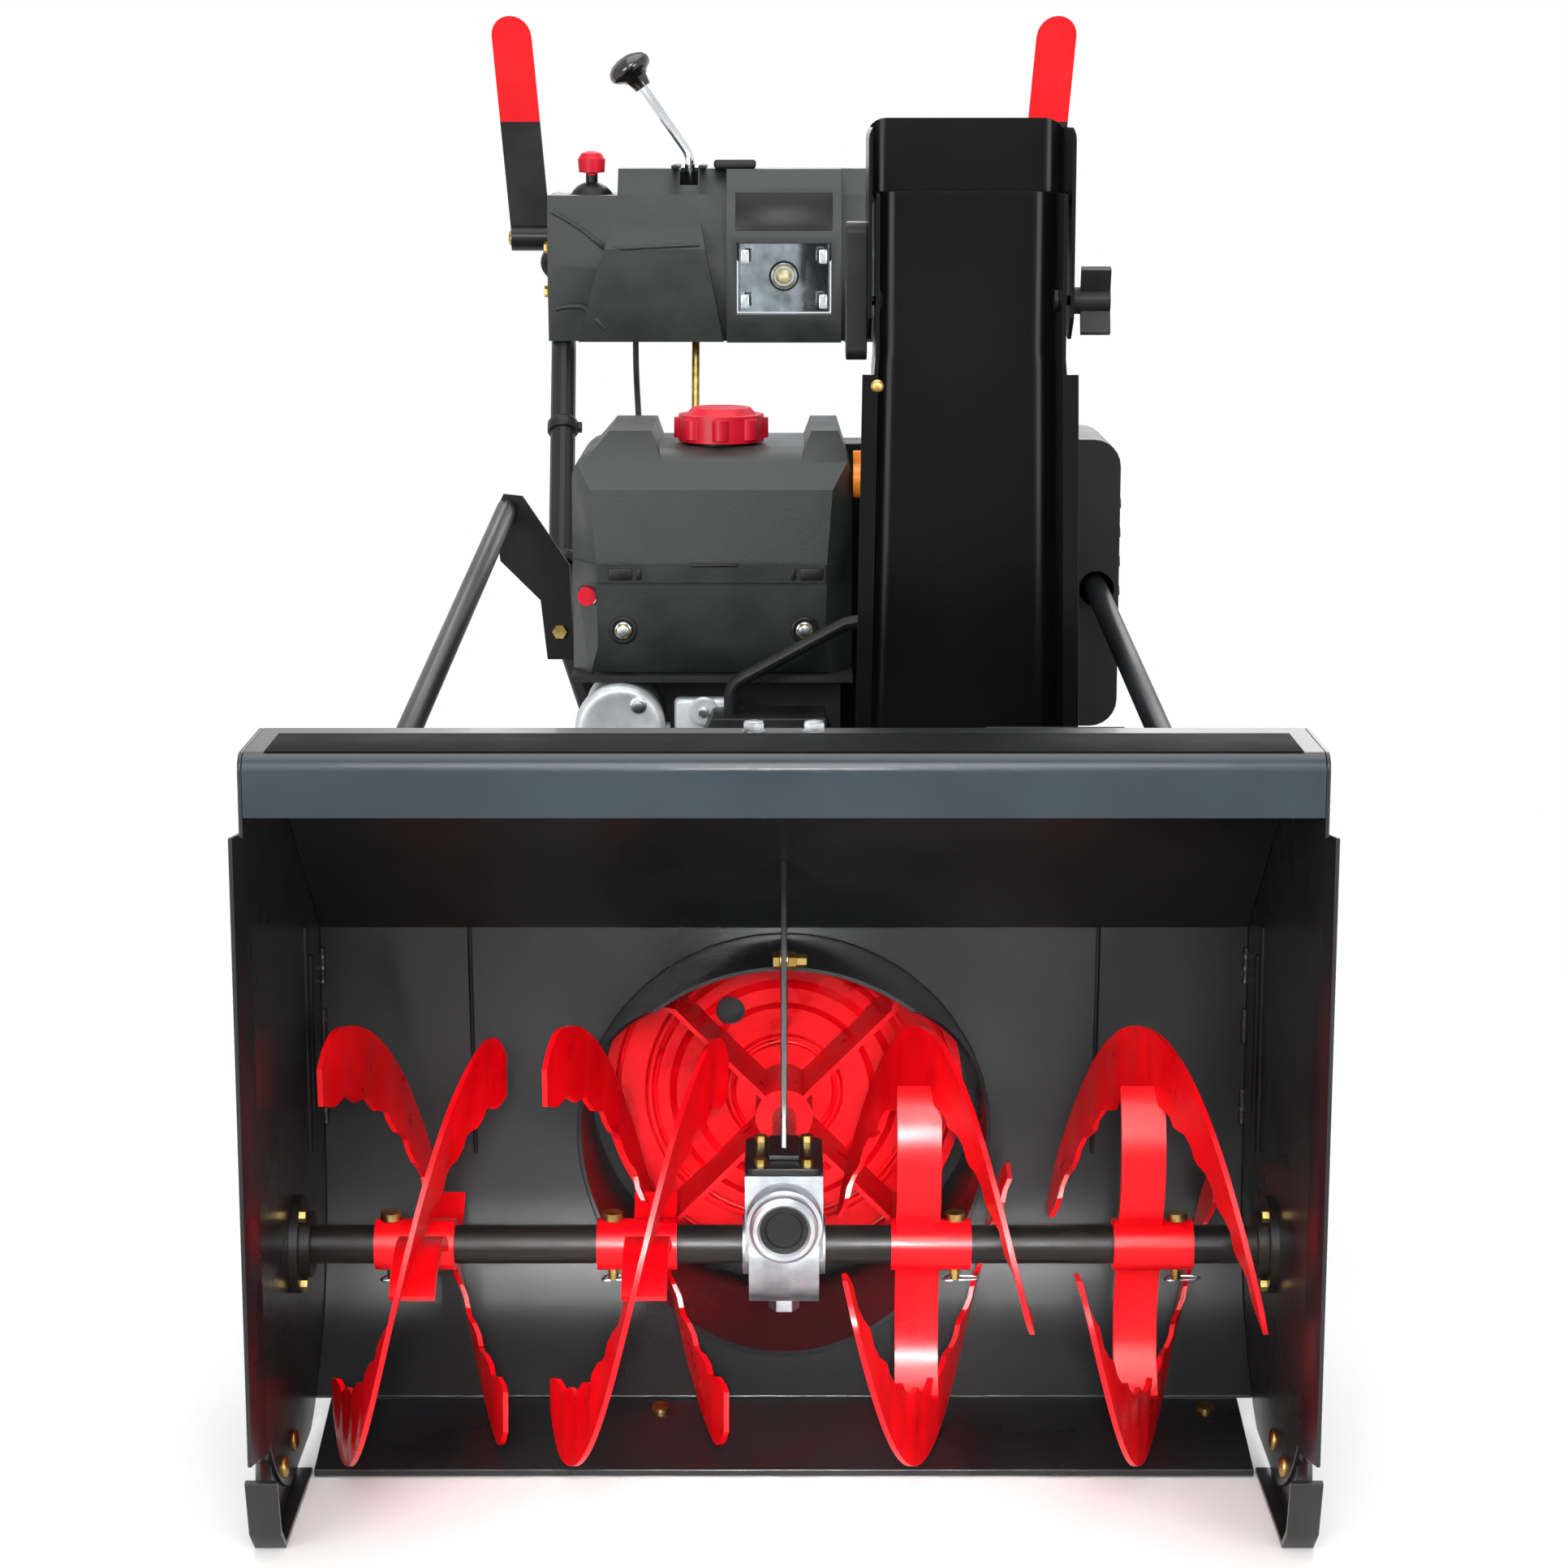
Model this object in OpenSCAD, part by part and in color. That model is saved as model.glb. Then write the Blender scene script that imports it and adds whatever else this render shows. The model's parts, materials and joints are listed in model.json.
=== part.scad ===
// Two-stage snow thrower: augers in a wide housing, an impeller in a drum behind them,
// a turning discharge chute, an engine on a two-wheel drive frame, and handles with a console.
// Millimetres, +Z up, the intake faces -Y, +X is to the right in front view.

/* [Overall] */
// Length from the housing lip to the ends of the hand grips
length = 1430; // [1400:1:1480]
// Thickness of the steel sheet of housing, drum and chute
sheet = 3; // [2:0.5:4]
// Radial clearance of shafts and pins in their bores
fit = 0.05; // [0.02:0.01:0.1]
// Gap between pieces that move past each other
gap = 0.5; // [0.4:0.1:1]

/* [Auger housing] */
// Clear width between the side plates
housing_w = 762; // [740:1:800]
// Height of the top panel
housing_h = 612; // [600:1:640]
// Depth of the flat top panel
top_depth = 107; // [90:1:125]
// Height of the front lip
lip_h = 46; // [35:1:60]
// Outward flare of the side plates at their front edges
flare = 8; // [4:1:11]
// Depth over which the side plates flare
flare_depth = 25; // [15:1:35]
// Angle of the trough that is rolled round the augers, in degrees
trough_angle = 61; // [50:1:66]
// Thickness of the scraper bar
scraper_t = 6; // [4:0.5:8]
// Width of a skid shoe's sole
shoe_w = 24; // [18:1:28]
// Thickness of the skid shoes
shoe_t = 5; // [3:0.5:6]
// Length of a skid shoe's flat sole
shoe_l = 145; // [120:1:160]

/* [Augers] */
// Outer radius of the augers
auger_r = 170; // [160:1:178]
// Gap from the augers to the trough
trough_gap = 12; // [9:1:16]
// Height of the auger tips above the ground
ground_gap = 18; // [17:1:24]
// Distance from the lip to the front of the augers
auger_setback = 23; // [18:1:30]
// Radius of the auger shaft
shaft_r = 15; // [12:0.5:16]
// Outer radius of an auger's hub sleeve
hub_r = 20; // [18:0.5:23]
// Length of an auger's hub sleeve
hub_l = 62; // [50:1:70]
// Radial width of an auger ribbon
ribbon_w = 60; // [46:1:64]
// Thickness of an auger ribbon
ribbon_t = 4; // [3:0.5:5]
// Turn of one ribbon, in degrees
ribbon_turn = 196; // [170:1:210]
// Depth of the scallops along a ribbon's inner edge
tooth_h = 7; // [4:0.5:9]
// Scallops along one ribbon
tooth_n = 11; // [8:1:14]
// Radius of a shear pin
pin_r = 4; // [3:0.5:5]

/* [Gearbox] */
// Half width of the gearbox case
gearbox_half = 32; // [28:1:36]
// Height of the worm shaft above the auger shaft
worm_rise = 34; // [33:0.5:38]
// Outer radius of the worm
worm_r = 12; // [11:0.5:13]

/* [Impeller] */
// Outer radius of the impeller
impeller_r = 160; // [150:1:166]
// Gap from the impeller tips to the drum
tip_gap = 8; // [5:0.5:10]
// Axial length of the impeller blades
blade_l = 88; // [80:1:95]
// Radius of the impeller shaft
worm_shaft_r = 10; // [8:0.5:11]
// Reach of the drum's collar into the housing
collar = 113; // [90:1:120]

/* [Chute] */
// Distance of the chute axis to the right of the centre plane
chute_x = 150; // [140:1:154]
// Inner radius of the discharge neck
neck_r = 69; // [64:1:72]
// Height of the turntable on which the chute turns
chute_z = 470; // [462:1:480]
// Height of the shoulder above which the deflector nests
shoulder_z = 848; // [820:1:852]
// Inner width of the chute at its foot
chute_foot_w = 160; // [152:1:164]
// Inner width of the chute above its shoulder
chute_top_w = 147; // [140:1:150]
// Distance from the chute axis back to the chute's rear wall
chute_back = 68; // [64:1:69]
// Distance from the chute axis forward to the chute's open edges
chute_front = 46; // [40:1:50]
// Height of the deflector pivot above the shoulder
pivot_rise = 56; // [54:1:66]
// Height of the chute's rear wall above the deflector pivot
chute_lip = 86; // [80:1:86]
// Height of the deflector above its pivot
deflector_h = 146; // [130:1:160]
// Gap between the chute's side walls and the deflector's
nest_gap = 3; // [2:0.5:4]
// Radius of the pivot studs
stud_r = 4; // [3:0.5:5]

/* [Drive] */
// Outer radius of the tyres
wheel_r = 203; // [190:1:215]
// Width of a tyre
tyre_w = 165; // [140:1:172]
// Radius of the rims
rim_r = 101; // [95:1:108]
// Radius of the axle shafts
axle_r = 9.5; // [8:0.5:11]
// Width of the drive frame
frame_w = 300; // [280:1:310]
// Length of the drive frame
frame_l = 432; // [410:1:450]
// Height of the frame's lower edge
frame_bottom = 95; // [85:1:105]
// Height of the frame's top, on which the engine stands
frame_top = 335; // [325:1:345]
// Distance of the axle behind the front of the frame
axle_back = 302; // [290:1:310]
// Height of the crankshaft above the frame's top
crank_rise = 105; // [100:1:115]
// Radius of the crankshaft
crank_r = 12.7; // [11:0.1:14]
// Radius of the crankshaft pulley
crank_pulley_r = 38; // [34:1:42]
// Radius of the impeller pulley
impeller_pulley_r = 90; // [80:1:95]
// Radius of the drive disc
disc_r = 85; // [75:1:90]
// Radius of the friction wheel
friction_r = 62; // [55:1:66]

/* [Engine] */
// Half width of the engine shroud's left side from the centre plane
shroud_left = 186; // [180:1:192]
// Half width of the engine shroud's right side from the centre plane
shroud_right = 60; // [54:1:66]
// Height of the shroud's lower edge above the frame's top
shroud_low = 237; // [232:1:242]
// Height of the shroud's top above the frame's top
shroud_high = 430; // [424:1:440]
// Wall of the moulded covers
wall = 3; // [2.5:0.5:4]
// Radius of the fuel filler neck
neck_fuel_r = 30; // [26:1:33]
// Radius of the fuel cap without its lobes
cap_r = 38; // [36:1:42]

/* [Handles] */
// Radius of the handle tubes
tube_r = 12.5; // [11:0.5:14]
// Radius of the hand grips
grip_r = 17; // [16:0.5:19]
// Length of the hand grips
grip_l = 150; // [130:1:160]
// Spread of the grips' ends from the centre plane
grip_x = 245; // [240:1:255]
// Height of the grips' ends
grip_z = 955; // [940:1:975]
// Radius of the brace tubes
brace_r = 10; // [8:0.5:11]

/* [Console] */
// Width of the console
dash_w = 472; // [464:1:474]
// Height of the console's top
dash_z = 1000; // [990:1:1005]
// Wall of the console
dash_wall = 3.5; // [3:0.5:4.5]
// Width of the headlight
lamp_w = 94; // [80:1:110]
// Height of the headlight
lamp_h = 70; // [60:1:76]
// Length of a clutch lever above its pivot
lever_l = 220; // [200:1:230]
// Width of a clutch lever
lever_w = 40; // [34:1:44]
// Radius of the lever pins
lever_pin_r = 5; // [4:0.5:6]
// Radius of the joystick's ball boot
boot_r = 24; // [21:1:26]

/* [Hidden] */
$fn = 64;

// Stations behind the lip and heights, front to rear
half_w = housing_w / 2;
trough_r = auger_r + trough_gap;
trough_out = trough_r + sheet;
auger_y = auger_r + auger_setback;
auger_z = auger_r + ground_gap;
wall_y = auger_y + trough_r;
wall_out = wall_y + sheet;
impeller_z = auger_z + worm_rise;
drum_r = impeller_r + tip_gap;
drum_out = drum_r + sheet;
wall_h = impeller_z + drum_out + 7;
neck_out = neck_r + sheet;
chute_y = wall_out + 2 + neck_out;
drum_back = chute_y + neck_out + 4;
frame_y = drum_back;
frame_half = frame_w / 2;
frame_end = frame_y + frame_l;
axle_y = frame_y + axle_back;
crank_z = frame_top + crank_rise;
pivot_z = shoulder_z + pivot_rise;
chute_top = pivot_z + chute_lip;
// Belt planes, the drive disc's face and the friction wheel's axis
bearing_t = 12;
pulley_y = frame_y + bearing_t + 1;
pulley_t = 18;
sheave_gap = 4;
drive_y = pulley_y + pulley_t + sheave_gap;
disc_y = drive_y + pulley_t + 21;
disc_t = 8;
friction_y = disc_y + disc_t + 3 + friction_r;
// Engine stations
engine_y = frame_y + 72;
engine_end = engine_y + 200;
shroud_y = engine_y - 8;
shroud_z = frame_top + shroud_low;
shroud_top = frame_top + shroud_high;
// Skid shoes and side plates
plate_out = half_w + sheet;
shoe_out = plate_out + flare + 4;
shoe_in = shoe_out - shoe_w;
shoe_h = 69;
plate_low = 12;
flare_top = housing_h - lip_h - 14;
// Augers: the units sit between the gearbox and the bearings
auger_bearing_t = 14;
auger_bearing_r = 38;
unit_space = (half_w - auger_bearing_t - 11 - gearbox_half - 13) / 2;
unit_l = unit_space - 17;
inner_x = gearbox_half + 13 + unit_l / 2;
outer_x = half_w - auger_bearing_t - 11 - unit_l / 2;
unit_xs = [-outer_x, -inner_x, inner_x, outer_x];
unit_phase = [0, 0, -90, -90];
pin_shift = 19;
// Handle tubes: one side's path, mirrored for the other
tube_x = frame_half + tube_r + 0.2;
tyre_x = tube_x + tube_r + 6.8;
tube_bend = 60;
dash_y = length - 362;
tube_low = [
    [tube_x, frame_end - 25, frame_bottom + 85],
    [tube_x, frame_end - 55, frame_top + 85],
    [tube_x + 52, frame_end - 55, frame_top + 245],
    [tube_x + 59, dash_y + 44, frame_top + 489]
];
grip_dir = unit([grip_x, length, grip_z] - tube_low[3]);
grip_end = [grip_x, length - grip_r * sqrt(1 - grip_dir[1] * grip_dir[1]), grip_z];
grip_cap = 6;
tube_end = grip_end - grip_cap * grip_dir;
tube_path = concat(tube_low, [tube_end]);
// Console and lever pivots
dash_half = dash_w / 2;
dash_low = dash_z - 170;
lever_y = dash_y + 97;
lever_z = dash_z - 70;
lever_x = dash_half + gap + lever_w / 2;
stick_y = dash_y + 82;
stick_x = 194;
end_z = dash_z - 26;
stick_z = end_z - 11;
shift_x = 95;
shift_z = dash_z - 65;
trigger_back = 175;
trigger_drop = 36;
trigger_at = grip_end - trigger_back * grip_dir - [0, 0, trigger_drop];

// Places and plain shapes: y is counted behind the housing lip
function fy(d) = d - length / 2;
function unit(v) = v / norm(v);
function left(v) = [-v[1], v[0]];
// A path moved sideways by t, with mitred corners
function shifted(pts, t) = [
    for (i = [0 : len(pts) - 1])
        let (
            d0 = i > 0 ? unit(pts[i] - pts[i - 1]) : unit(pts[1] - pts[0]),
            d1 = i < len(pts) - 1 ? unit(pts[i + 1] - pts[i]) : d0,
            n0 = left(d0),
            n1 = left(d1)
        )
        pts[i] + t * (n0 + n1) / (1 + n0 * n1)
];
function backwards(pts) = [for (i = [len(pts) - 1 : -1 : 0]) pts[i]];
// The outline of a sheet of thickness t along a path
function strip(pts, t) = concat(pts, backwards(shifted(pts, t)));
function arc(c, r, a0, a1, n = 6) = [
    for (i = [0 : n]) let (a = a0 + (a1 - a0) * i / n) c + r * [cos(a), sin(a)]
];
function rounded(x0, x1, y0, y1, r) = concat(
    arc([x1 - r, y1 - r], r, 0, 90),
    arc([x0 + r, y1 - r], r, 90, 180),
    arc([x0 + r, y0 + r], r, 180, 270),
    arc([x1 - r, y0 + r], r, 270, 360)
);

module box(x, y, z) {
    translate([x[0], fy(y[0]), z[0]])
        cube([x[1] - x[0], y[1] - y[0], z[1] - z[0]]);
}
module x_rod(r, x, y, z, sides = 64) {
    translate([x[0], fy(y), z])
        rotate([0, 90, 0])
            cylinder(r = r, h = x[1] - x[0], $fn = sides);
}
module y_rod(r, y, x, z, sides = 64) {
    translate([x, fy(y[0]), z])
        rotate([-90, 0, 0])
            cylinder(r = r, h = y[1] - y[0], $fn = sides);
}
module z_rod(r, z, x, y, sides = 64) {
    translate([x, fy(y), z[0]])
        cylinder(r = r, h = z[1] - z[0], $fn = sides);
}
// An outline in the y-z plane, extruded across the machine
module yz_plate(pts, x) {
    multmatrix([[0, 0, 1, x[0]], [1, 0, 0, fy(0)], [0, 1, 0, 0], [0, 0, 0, 1]])
        linear_extrude(x[1] - x[0])
            polygon(pts);
}
// An outline in the x-z plane, extruded along the machine
module xz_plate(pts, y) {
    translate([0, fy(y[1]), 0])
        rotate([90, 0, 0])
            linear_extrude(y[1] - y[0])
                polygon(pts);
}
module xy_plate(pts, z) {
    translate([0, fy(0), z[0]])
        linear_extrude(z[1] - z[0])
            polygon(pts);
}
// A turned piece on an axis along y; the profile is (radius, distance)
module y_turn(pts, y, x, z) {
    translate([x, fy(y), z])
        rotate([-90, 0, 0])
            rotate_extrude()
                polygon(pts);
}
module x_turn(pts, x, y, z) {
    translate([x, fy(y), z])
        rotate([0, 90, 0])
            rotate_extrude()
                polygon(pts);
}
module both_sides() {
    children();
    mirror([1, 0, 0])
        children();
}
function at(p) = [p[0], fy(p[1]), p[2]];
module rod(p, q, r) {
    d = unit(q - p);
    side = norm(cross([0, 0, 1], d)) > 0.001 ? unit(cross([0, 0, 1], d)) : [1, 0, 0];
    up = cross(d, side);
    o = at(p);
    multmatrix([
        [side[0], up[0], d[0], o[0]],
        [side[1], up[1], d[1], o[1]],
        [side[2], up[2], d[2], o[2]],
        [0, 0, 0, 1]
    ])
        cylinder(r = r, h = norm(q - p));
}
// A tube bent at each inner point of its path, swept as rings of flat sides
bend_steps = 6;
function turned(v, k, a) = v * cos(a) + cross(k, v) * sin(a) + k * (k * v) * (1 - cos(a));
function square_to(d) = unit(cross(abs(d[2]) < 0.9 ? [0, 0, 1] : [1, 0, 0], d));
function bend_axis(a, b) = norm(cross(a, b)) > 0.0001 ? unit(cross(a, b)) : square_to(a);
// The side vector of each straight run, carried round the bends without twist
function side_vectors(dirs, i = 0, v = undef) =
    i == len(dirs) ? []
    : let (
        now = i == 0 ? square_to(dirs[0])
            : turned(v, bend_axis(dirs[i - 1], dirs[i]), acos(min(1, dirs[i - 1] * dirs[i])))
    )
    concat([now], side_vectors(dirs, i + 1, now));
function tube_ring(p, d, v, r, sides) = [
    for (k = [0 : sides - 1])
        let (a = 360 * k / sides) at(p) + r * (cos(a) * v + sin(a) * cross(d, v))
];
module bent_tube(pts, r, bend, sides = 16) {
    n = len(pts);
    dirs = [for (i = [0 : n - 2]) unit(pts[i + 1] - pts[i])];
    vs = side_vectors(dirs);
    bends = [
        for (i = [1 : 1 : n - 2])
            let (
                u = dirs[i - 1],
                axis = bend_axis(u, dirs[i]),
                a = acos(min(1, u * dirs[i])),
                inward = cross(axis, u),
                c = pts[i] - bend * tan(a / 2) * u + bend * inward
            )
            for (s = [0 : bend_steps])
                let (b = a * s / bend_steps)
                tube_ring(
                    c - bend * turned(inward, axis, b), turned(u, axis, b),
                    turned(vs[i - 1], axis, b), r, sides
                )
    ];
    rings = concat(
        [tube_ring(pts[0], dirs[0], vs[0], r, sides)], bends,
        [tube_ring(pts[n - 1], dirs[n - 2], vs[n - 2], r, sides)]
    );
    last = (len(rings) - 1) * sides;
    skin = [
        for (i = [0 : len(rings) - 2], k = [0 : sides - 1])
            let (p = i * sides + k, q = i * sides + (k + 1) % sides)
            each [[p, p + sides, q + sides], [p, q + sides, q]]
    ];
    ends = [[for (k = [0 : sides - 1]) k], [for (k = [sides - 1 : -1 : 0]) last + k]];
    polyhedron([for (ring = rings) each ring], concat(skin, ends));
}

// Auger housing: lip, top, slanted panel and rear wall in one sheet, rolled into a trough below
lip_bend = 13;
top_rear = [top_depth, housing_h];
slant_low = [wall_out, wall_h];
housing_path = concat(
    [[0, housing_h - lip_h]], arc([lip_bend, housing_h - lip_bend], lip_bend, 180, 90, 5),
    [top_rear, slant_low, [wall_out, auger_z]]
);
housing_outside = concat(housing_path, [[wall_out, 0], [0, 0]]);
housing_inside = concat(shifted(housing_path, -sheet), [[wall_y, 0], [sheet, 0]]);
slant_dir = unit(slant_low - top_rear);
slant_up = left(slant_dir);
trough_end = [auger_y, auger_z] + trough_out * [cos(trough_angle), -sin(trough_angle)];

trough_bends = 24;
trough_step = trough_angle / trough_bends;
rolled_path = concat(
    housing_path,
    arc([auger_y, auger_z], trough_out, -trough_step, -trough_angle, trough_bends - 1)
);

module auger_housing() {
    color("dimgray")
        difference() {
            yz_plate(strip(rolled_path, -sheet), [-half_w, half_w]);
            y_rod(drum_out, [auger_y, wall_out + 60], 0, impeller_z);
        }
}
module side_plate() {
    difference() {
        union() {
            yz_plate(concat([[0, shoe_h]], housing_path), [half_w, plate_out]);
            x_rod(trough_out, [half_w, plate_out], auger_y, auger_z);
        }
        box([half_w - 1, plate_out + 1], [-1, flare_depth], [-1, flare_top]);
        box([half_w - 1, plate_out + 1], [-1, wall_out + 1], [-1, plate_low]);
        x_rod(shaft_r + 6, [half_w - 1, plate_out + 1], auger_y, auger_z);
    }
    flare_plan = [
        [half_w, flare_depth], [plate_out, flare_depth],
        [plate_out + flare, 0], [half_w + flare, 0]
    ];
    xy_plate(flare_plan, [shoe_h + 13, flare_top]);
}
module side_plates() {
    color("black")
        both_sides()
            side_plate();
}
// Scraper bar: seats under the trough's lower edge
scraper_front = [auger_y - 16, scraper_t + 2];
scraper_dir = unit(trough_end - scraper_front);
scraper_half = shoe_in - 3;
module scraper_bar() {
    path = [scraper_front, trough_end + 18 * scraper_dir];
    color("black")
        yz_plate(strip(path, -scraper_t), [-scraper_half, scraper_half]);
}
shoe_rear = shoe_l + 45;
module skid_shoes() {
    sole = [[shoe_rear, 0], [shoe_rear - shoe_l, 0], [22, 20], [8, shoe_h - 3]];
    color("black")
        both_sides() {
            yz_plate(strip(sole, -shoe_t), [shoe_in, shoe_out]);
            box([plate_out, plate_out + shoe_t], [60, shoe_rear], [shoe_t - 1, 62]);
        }
}
module flange_bearing(r_out, bore, t) {
    difference() {
        union() {
            cylinder(r = r_out, h = t * 0.45);
            cylinder(r = r_out * 0.68, h = t);
        }
        translate([0, 0, -1])
            cylinder(r = bore, h = t + 2);
    }
}
bush_r = axle_r + 6;
module bearings() {
    color("silver") {
        both_sides()
            translate([half_w, fy(auger_y), auger_z])
                rotate([0, -90, 0])
                    flange_bearing(auger_bearing_r, shaft_r + fit, auger_bearing_t);
        translate([0, fy(drum_back), impeller_z])
            rotate([-90, 0, 0])
                flange_bearing(36, worm_shaft_r + fit, bearing_t);
        both_sides()
            difference() {
                union() {
                    x_rod(bush_r, [frame_half - sheet, frame_half + 4], axle_y, wheel_r);
                    x_rod(bush_r + 8, [frame_half, frame_half + 4], axle_y, wheel_r);
                }
                x_rod(axle_r + fit, [frame_half - 9, frame_half + 9], axle_y, wheel_r);
            }
    }
}
// Impeller drum with the discharge neck welded on its upper right
module neck_form(inset) {
    hull() {
        z_rod(neck_out - inset, [chute_z - 60, chute_z], chute_x, chute_y, 48);
        box(
            [chute_x - 90 + inset, drum_out - 1 - inset],
            [wall_out + 12 + inset, drum_back - 5 - inset],
            [impeller_z + 8, impeller_z + 18]
        );
    }
}
neck_flange_t = 4;
turntable_r = neck_out + 23;
module impeller_drum() {
    color("black")
        difference() {
            union() {
                y_rod(drum_out, [wall_y - collar, drum_back], 0, impeller_z);
                y_rod(drum_out + 17, [wall_out, wall_out + sheet], 0, impeller_z);
                neck_form(0);
                z_rod(turntable_r - 3, [chute_z - neck_flange_t, chute_z], chute_x, chute_y);
            }
            y_rod(drum_r, [wall_y - collar - 1, drum_back - sheet], 0, impeller_z);
            neck_form(sheet);
            z_rod(neck_r, [chute_z - 20, chute_z + 1], chute_x, chute_y);
            x_rod(trough_r, [-half_w, half_w], auger_y, auger_z);
            y_rod(worm_shaft_r + 6, [drum_back - 9, drum_back + 1], 0, impeller_z);
        }
}

// Augers: two scalloped ribbons on a hub, carried by two curved arms
ribbon_steps = 44;
function ribbon_x(f, hand) = hand * (f - 0.5) * unit_l;
function ribbon_tip(f) = auger_r - 22 * pow(max(0, 2 * abs(f - 0.5) - 0.86) / 0.14, 2);
function ribbon_foot(f) = auger_r - ribbon_w + tooth_h / 2 * (1 + cos(360 * tooth_n * f));
function ribbon_at(r, a, x) = [x, -r * sin(a), r * cos(a)];
module ribbon(a0, hand) {
    ring = [
        for (i = [0 : ribbon_steps])
            let (
                f = i / ribbon_steps,
                a = a0 + ribbon_turn * (f - 0.5),
                x = ribbon_x(f, hand),
                ripple = x + 1.2 * sin(360 * tooth_n * f),
                tip = ribbon_tip(f),
                foot = ribbon_foot(f)
            )
            each [
                ribbon_at(foot, a, ripple - ribbon_t / 2), ribbon_at(tip, a, x - ribbon_t / 2),
                ribbon_at(tip, a, x + ribbon_t / 2), ribbon_at(foot, a, ripple + ribbon_t / 2)
            ]
    ];
    last = 4 * ribbon_steps;
    sides = [
        for (i = [0 : ribbon_steps - 1], k = [0 : 3])
            let (p = 4 * i + k, q = 4 * i + (k + 1) % 4)
            each [[p, q + 4, p + 4], [p, q, q + 4]]
    ];
    ends = [[0, 2, 1], [0, 3, 2], [last, last + 1, last + 2], [last, last + 2, last + 3]];
    polyhedron(ring, concat(sides, ends));
}
// A broad arm that curves from the hub out to a ribbon's foot, clear of the shear pin's head
module auger_arm(hand) {
    reach = auger_r - ribbon_w + tooth_h + 9;
    bow = 84;
    sweep = 2 * asin(min(0.95, (reach - hub_r + 6) / 2 / bow));
    arm_w = 34;
    arm_t = 7;
    translate([hand > 0 ? 7 - arm_w : -7, 0, 0])
        rotate([0, 90, 0])
            translate([-(reach + hub_r - 6) / 2, hand * bow * cos(sweep / 2), 0])
                rotate([0, 0, -hand * 90 - sweep / 2])
                    rotate_extrude(angle = sweep)
                        translate([bow - arm_t / 2, 0])
                            square([arm_t, arm_w]);
}
module auger_unit(i) {
    hand = unit_xs[i] < 0 ? -1 : 1;
    mid = 90 + unit_phase[i];
    color("red")
        translate([unit_xs[i], fy(auger_y), auger_z])
            difference() {
                union() {
                    translate([-hub_l / 2, 0, 0])
                        rotate([0, 90, 0])
                            cylinder(r = hub_r, h = hub_l);
                    for (k = [0, 1]) {
                        ribbon(mid + 180 * k, hand);
                        rotate([mid + 180 * k, 0, 0])
                            auger_arm(hand);
                    }
                }
                translate([-hub_l / 2 - 1, 0, 0])
                    rotate([0, 90, 0])
                        cylinder(r = shaft_r, h = hub_l + 2);
                translate([hand * pin_shift, 0, -hub_r - 9])
                    cylinder(r = pin_r, h = 2 * hub_r + 18);
            }
}
module left_outer_auger() {
    auger_unit(0);
}
module left_inner_auger() {
    auger_unit(1);
}
module right_inner_auger() {
    auger_unit(2);
}
module right_outer_auger() {
    auger_unit(3);
}
module auger_shaft() {
    color("black")
        difference() {
            x_rod(shaft_r, [-half_w, half_w], auger_y, auger_z);
            for (x = unit_xs)
                z_rod(pin_r, [auger_z - 40, auger_z + 40], x + sign(x) * pin_shift, auger_y);
        }
}
module shear_pins() {
    color("darkgoldenrod")
        for (x = unit_xs) {
            px = x + sign(x) * pin_shift;
            z_rod(pin_r, [auger_z - hub_r - 8, auger_z + hub_r + 4], px, auger_y);
            z_rod(2 * pin_r, [auger_z + hub_r + 0.2, auger_z + hub_r + 6], px, auger_y);
        }
}

// Worm gearbox in the middle of the auger shaft
case_front = auger_y - 68;
case_rear = auger_y + 69;
cover_z = impeller_z + 34;
cover_t = 6;
wheel_gear_r = worm_rise - worm_r - gap;
wheel_gear_t = 22;
module gearbox_case() {
    color("lightgray")
        difference() {
            union() {
                x_rod(44, [-gearbox_half + 5, gearbox_half - 5], auger_y, auger_z);
                both_sides()
                    x_rod(shaft_r + 8, [0, gearbox_half], auger_y, auger_z);
                y_rod(29, [case_front + 6, case_rear], 0, impeller_z);
                y_rod(25, [case_front, case_front + 20], 0, impeller_z);
                box(
                    [-gearbox_half + 2, gearbox_half - 2],
                    [auger_y - 42, auger_y + 42], [auger_z, cover_z]
                );
                z_rod(12, [auger_z - 52, auger_z], 0, auger_y, 6);
            }
            x_rod(shaft_r + fit, [-gearbox_half - 1, gearbox_half + 1], auger_y, auger_z);
            x_rod(wheel_gear_r + 2, [-wheel_gear_t / 2 - 1, wheel_gear_t / 2 + 1], auger_y, auger_z);
            y_rod(worm_shaft_r + fit, [case_front + 18, case_rear + 1], 0, impeller_z);
            y_rod(worm_r + 2, [auger_y - 36, auger_y + 36], 0, impeller_z);
        }
}
module gearbox_cover() {
    plan = rounded(
        -gearbox_half + 2, gearbox_half - 2, auger_y - 42, auger_y + 42, 8
    );
    color("black")
        xy_plate(plan, [cover_z, cover_z + cover_t]);
}
brace_w = 24;
brace_foot_z = cover_z + cover_t;
module gearbox_brace() {
    y = auger_y;
    z = brace_foot_z;
    side = [
        [y - 4, z], [y + 22, z], [y + 63, z + 145], [y + 110, z + 212], [y + 90, z + 226], [y + 41, z + 150]
    ];
    color("black") {
        box([-brace_w / 2, brace_w / 2], [y - 20, y + 34], [z, z + 4]);
        intersection() {
            yz_plate(side, [-2.5, 2.5]);
            yz_plate(housing_inside, [-brace_w, brace_w]);
        }
    }
}
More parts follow.
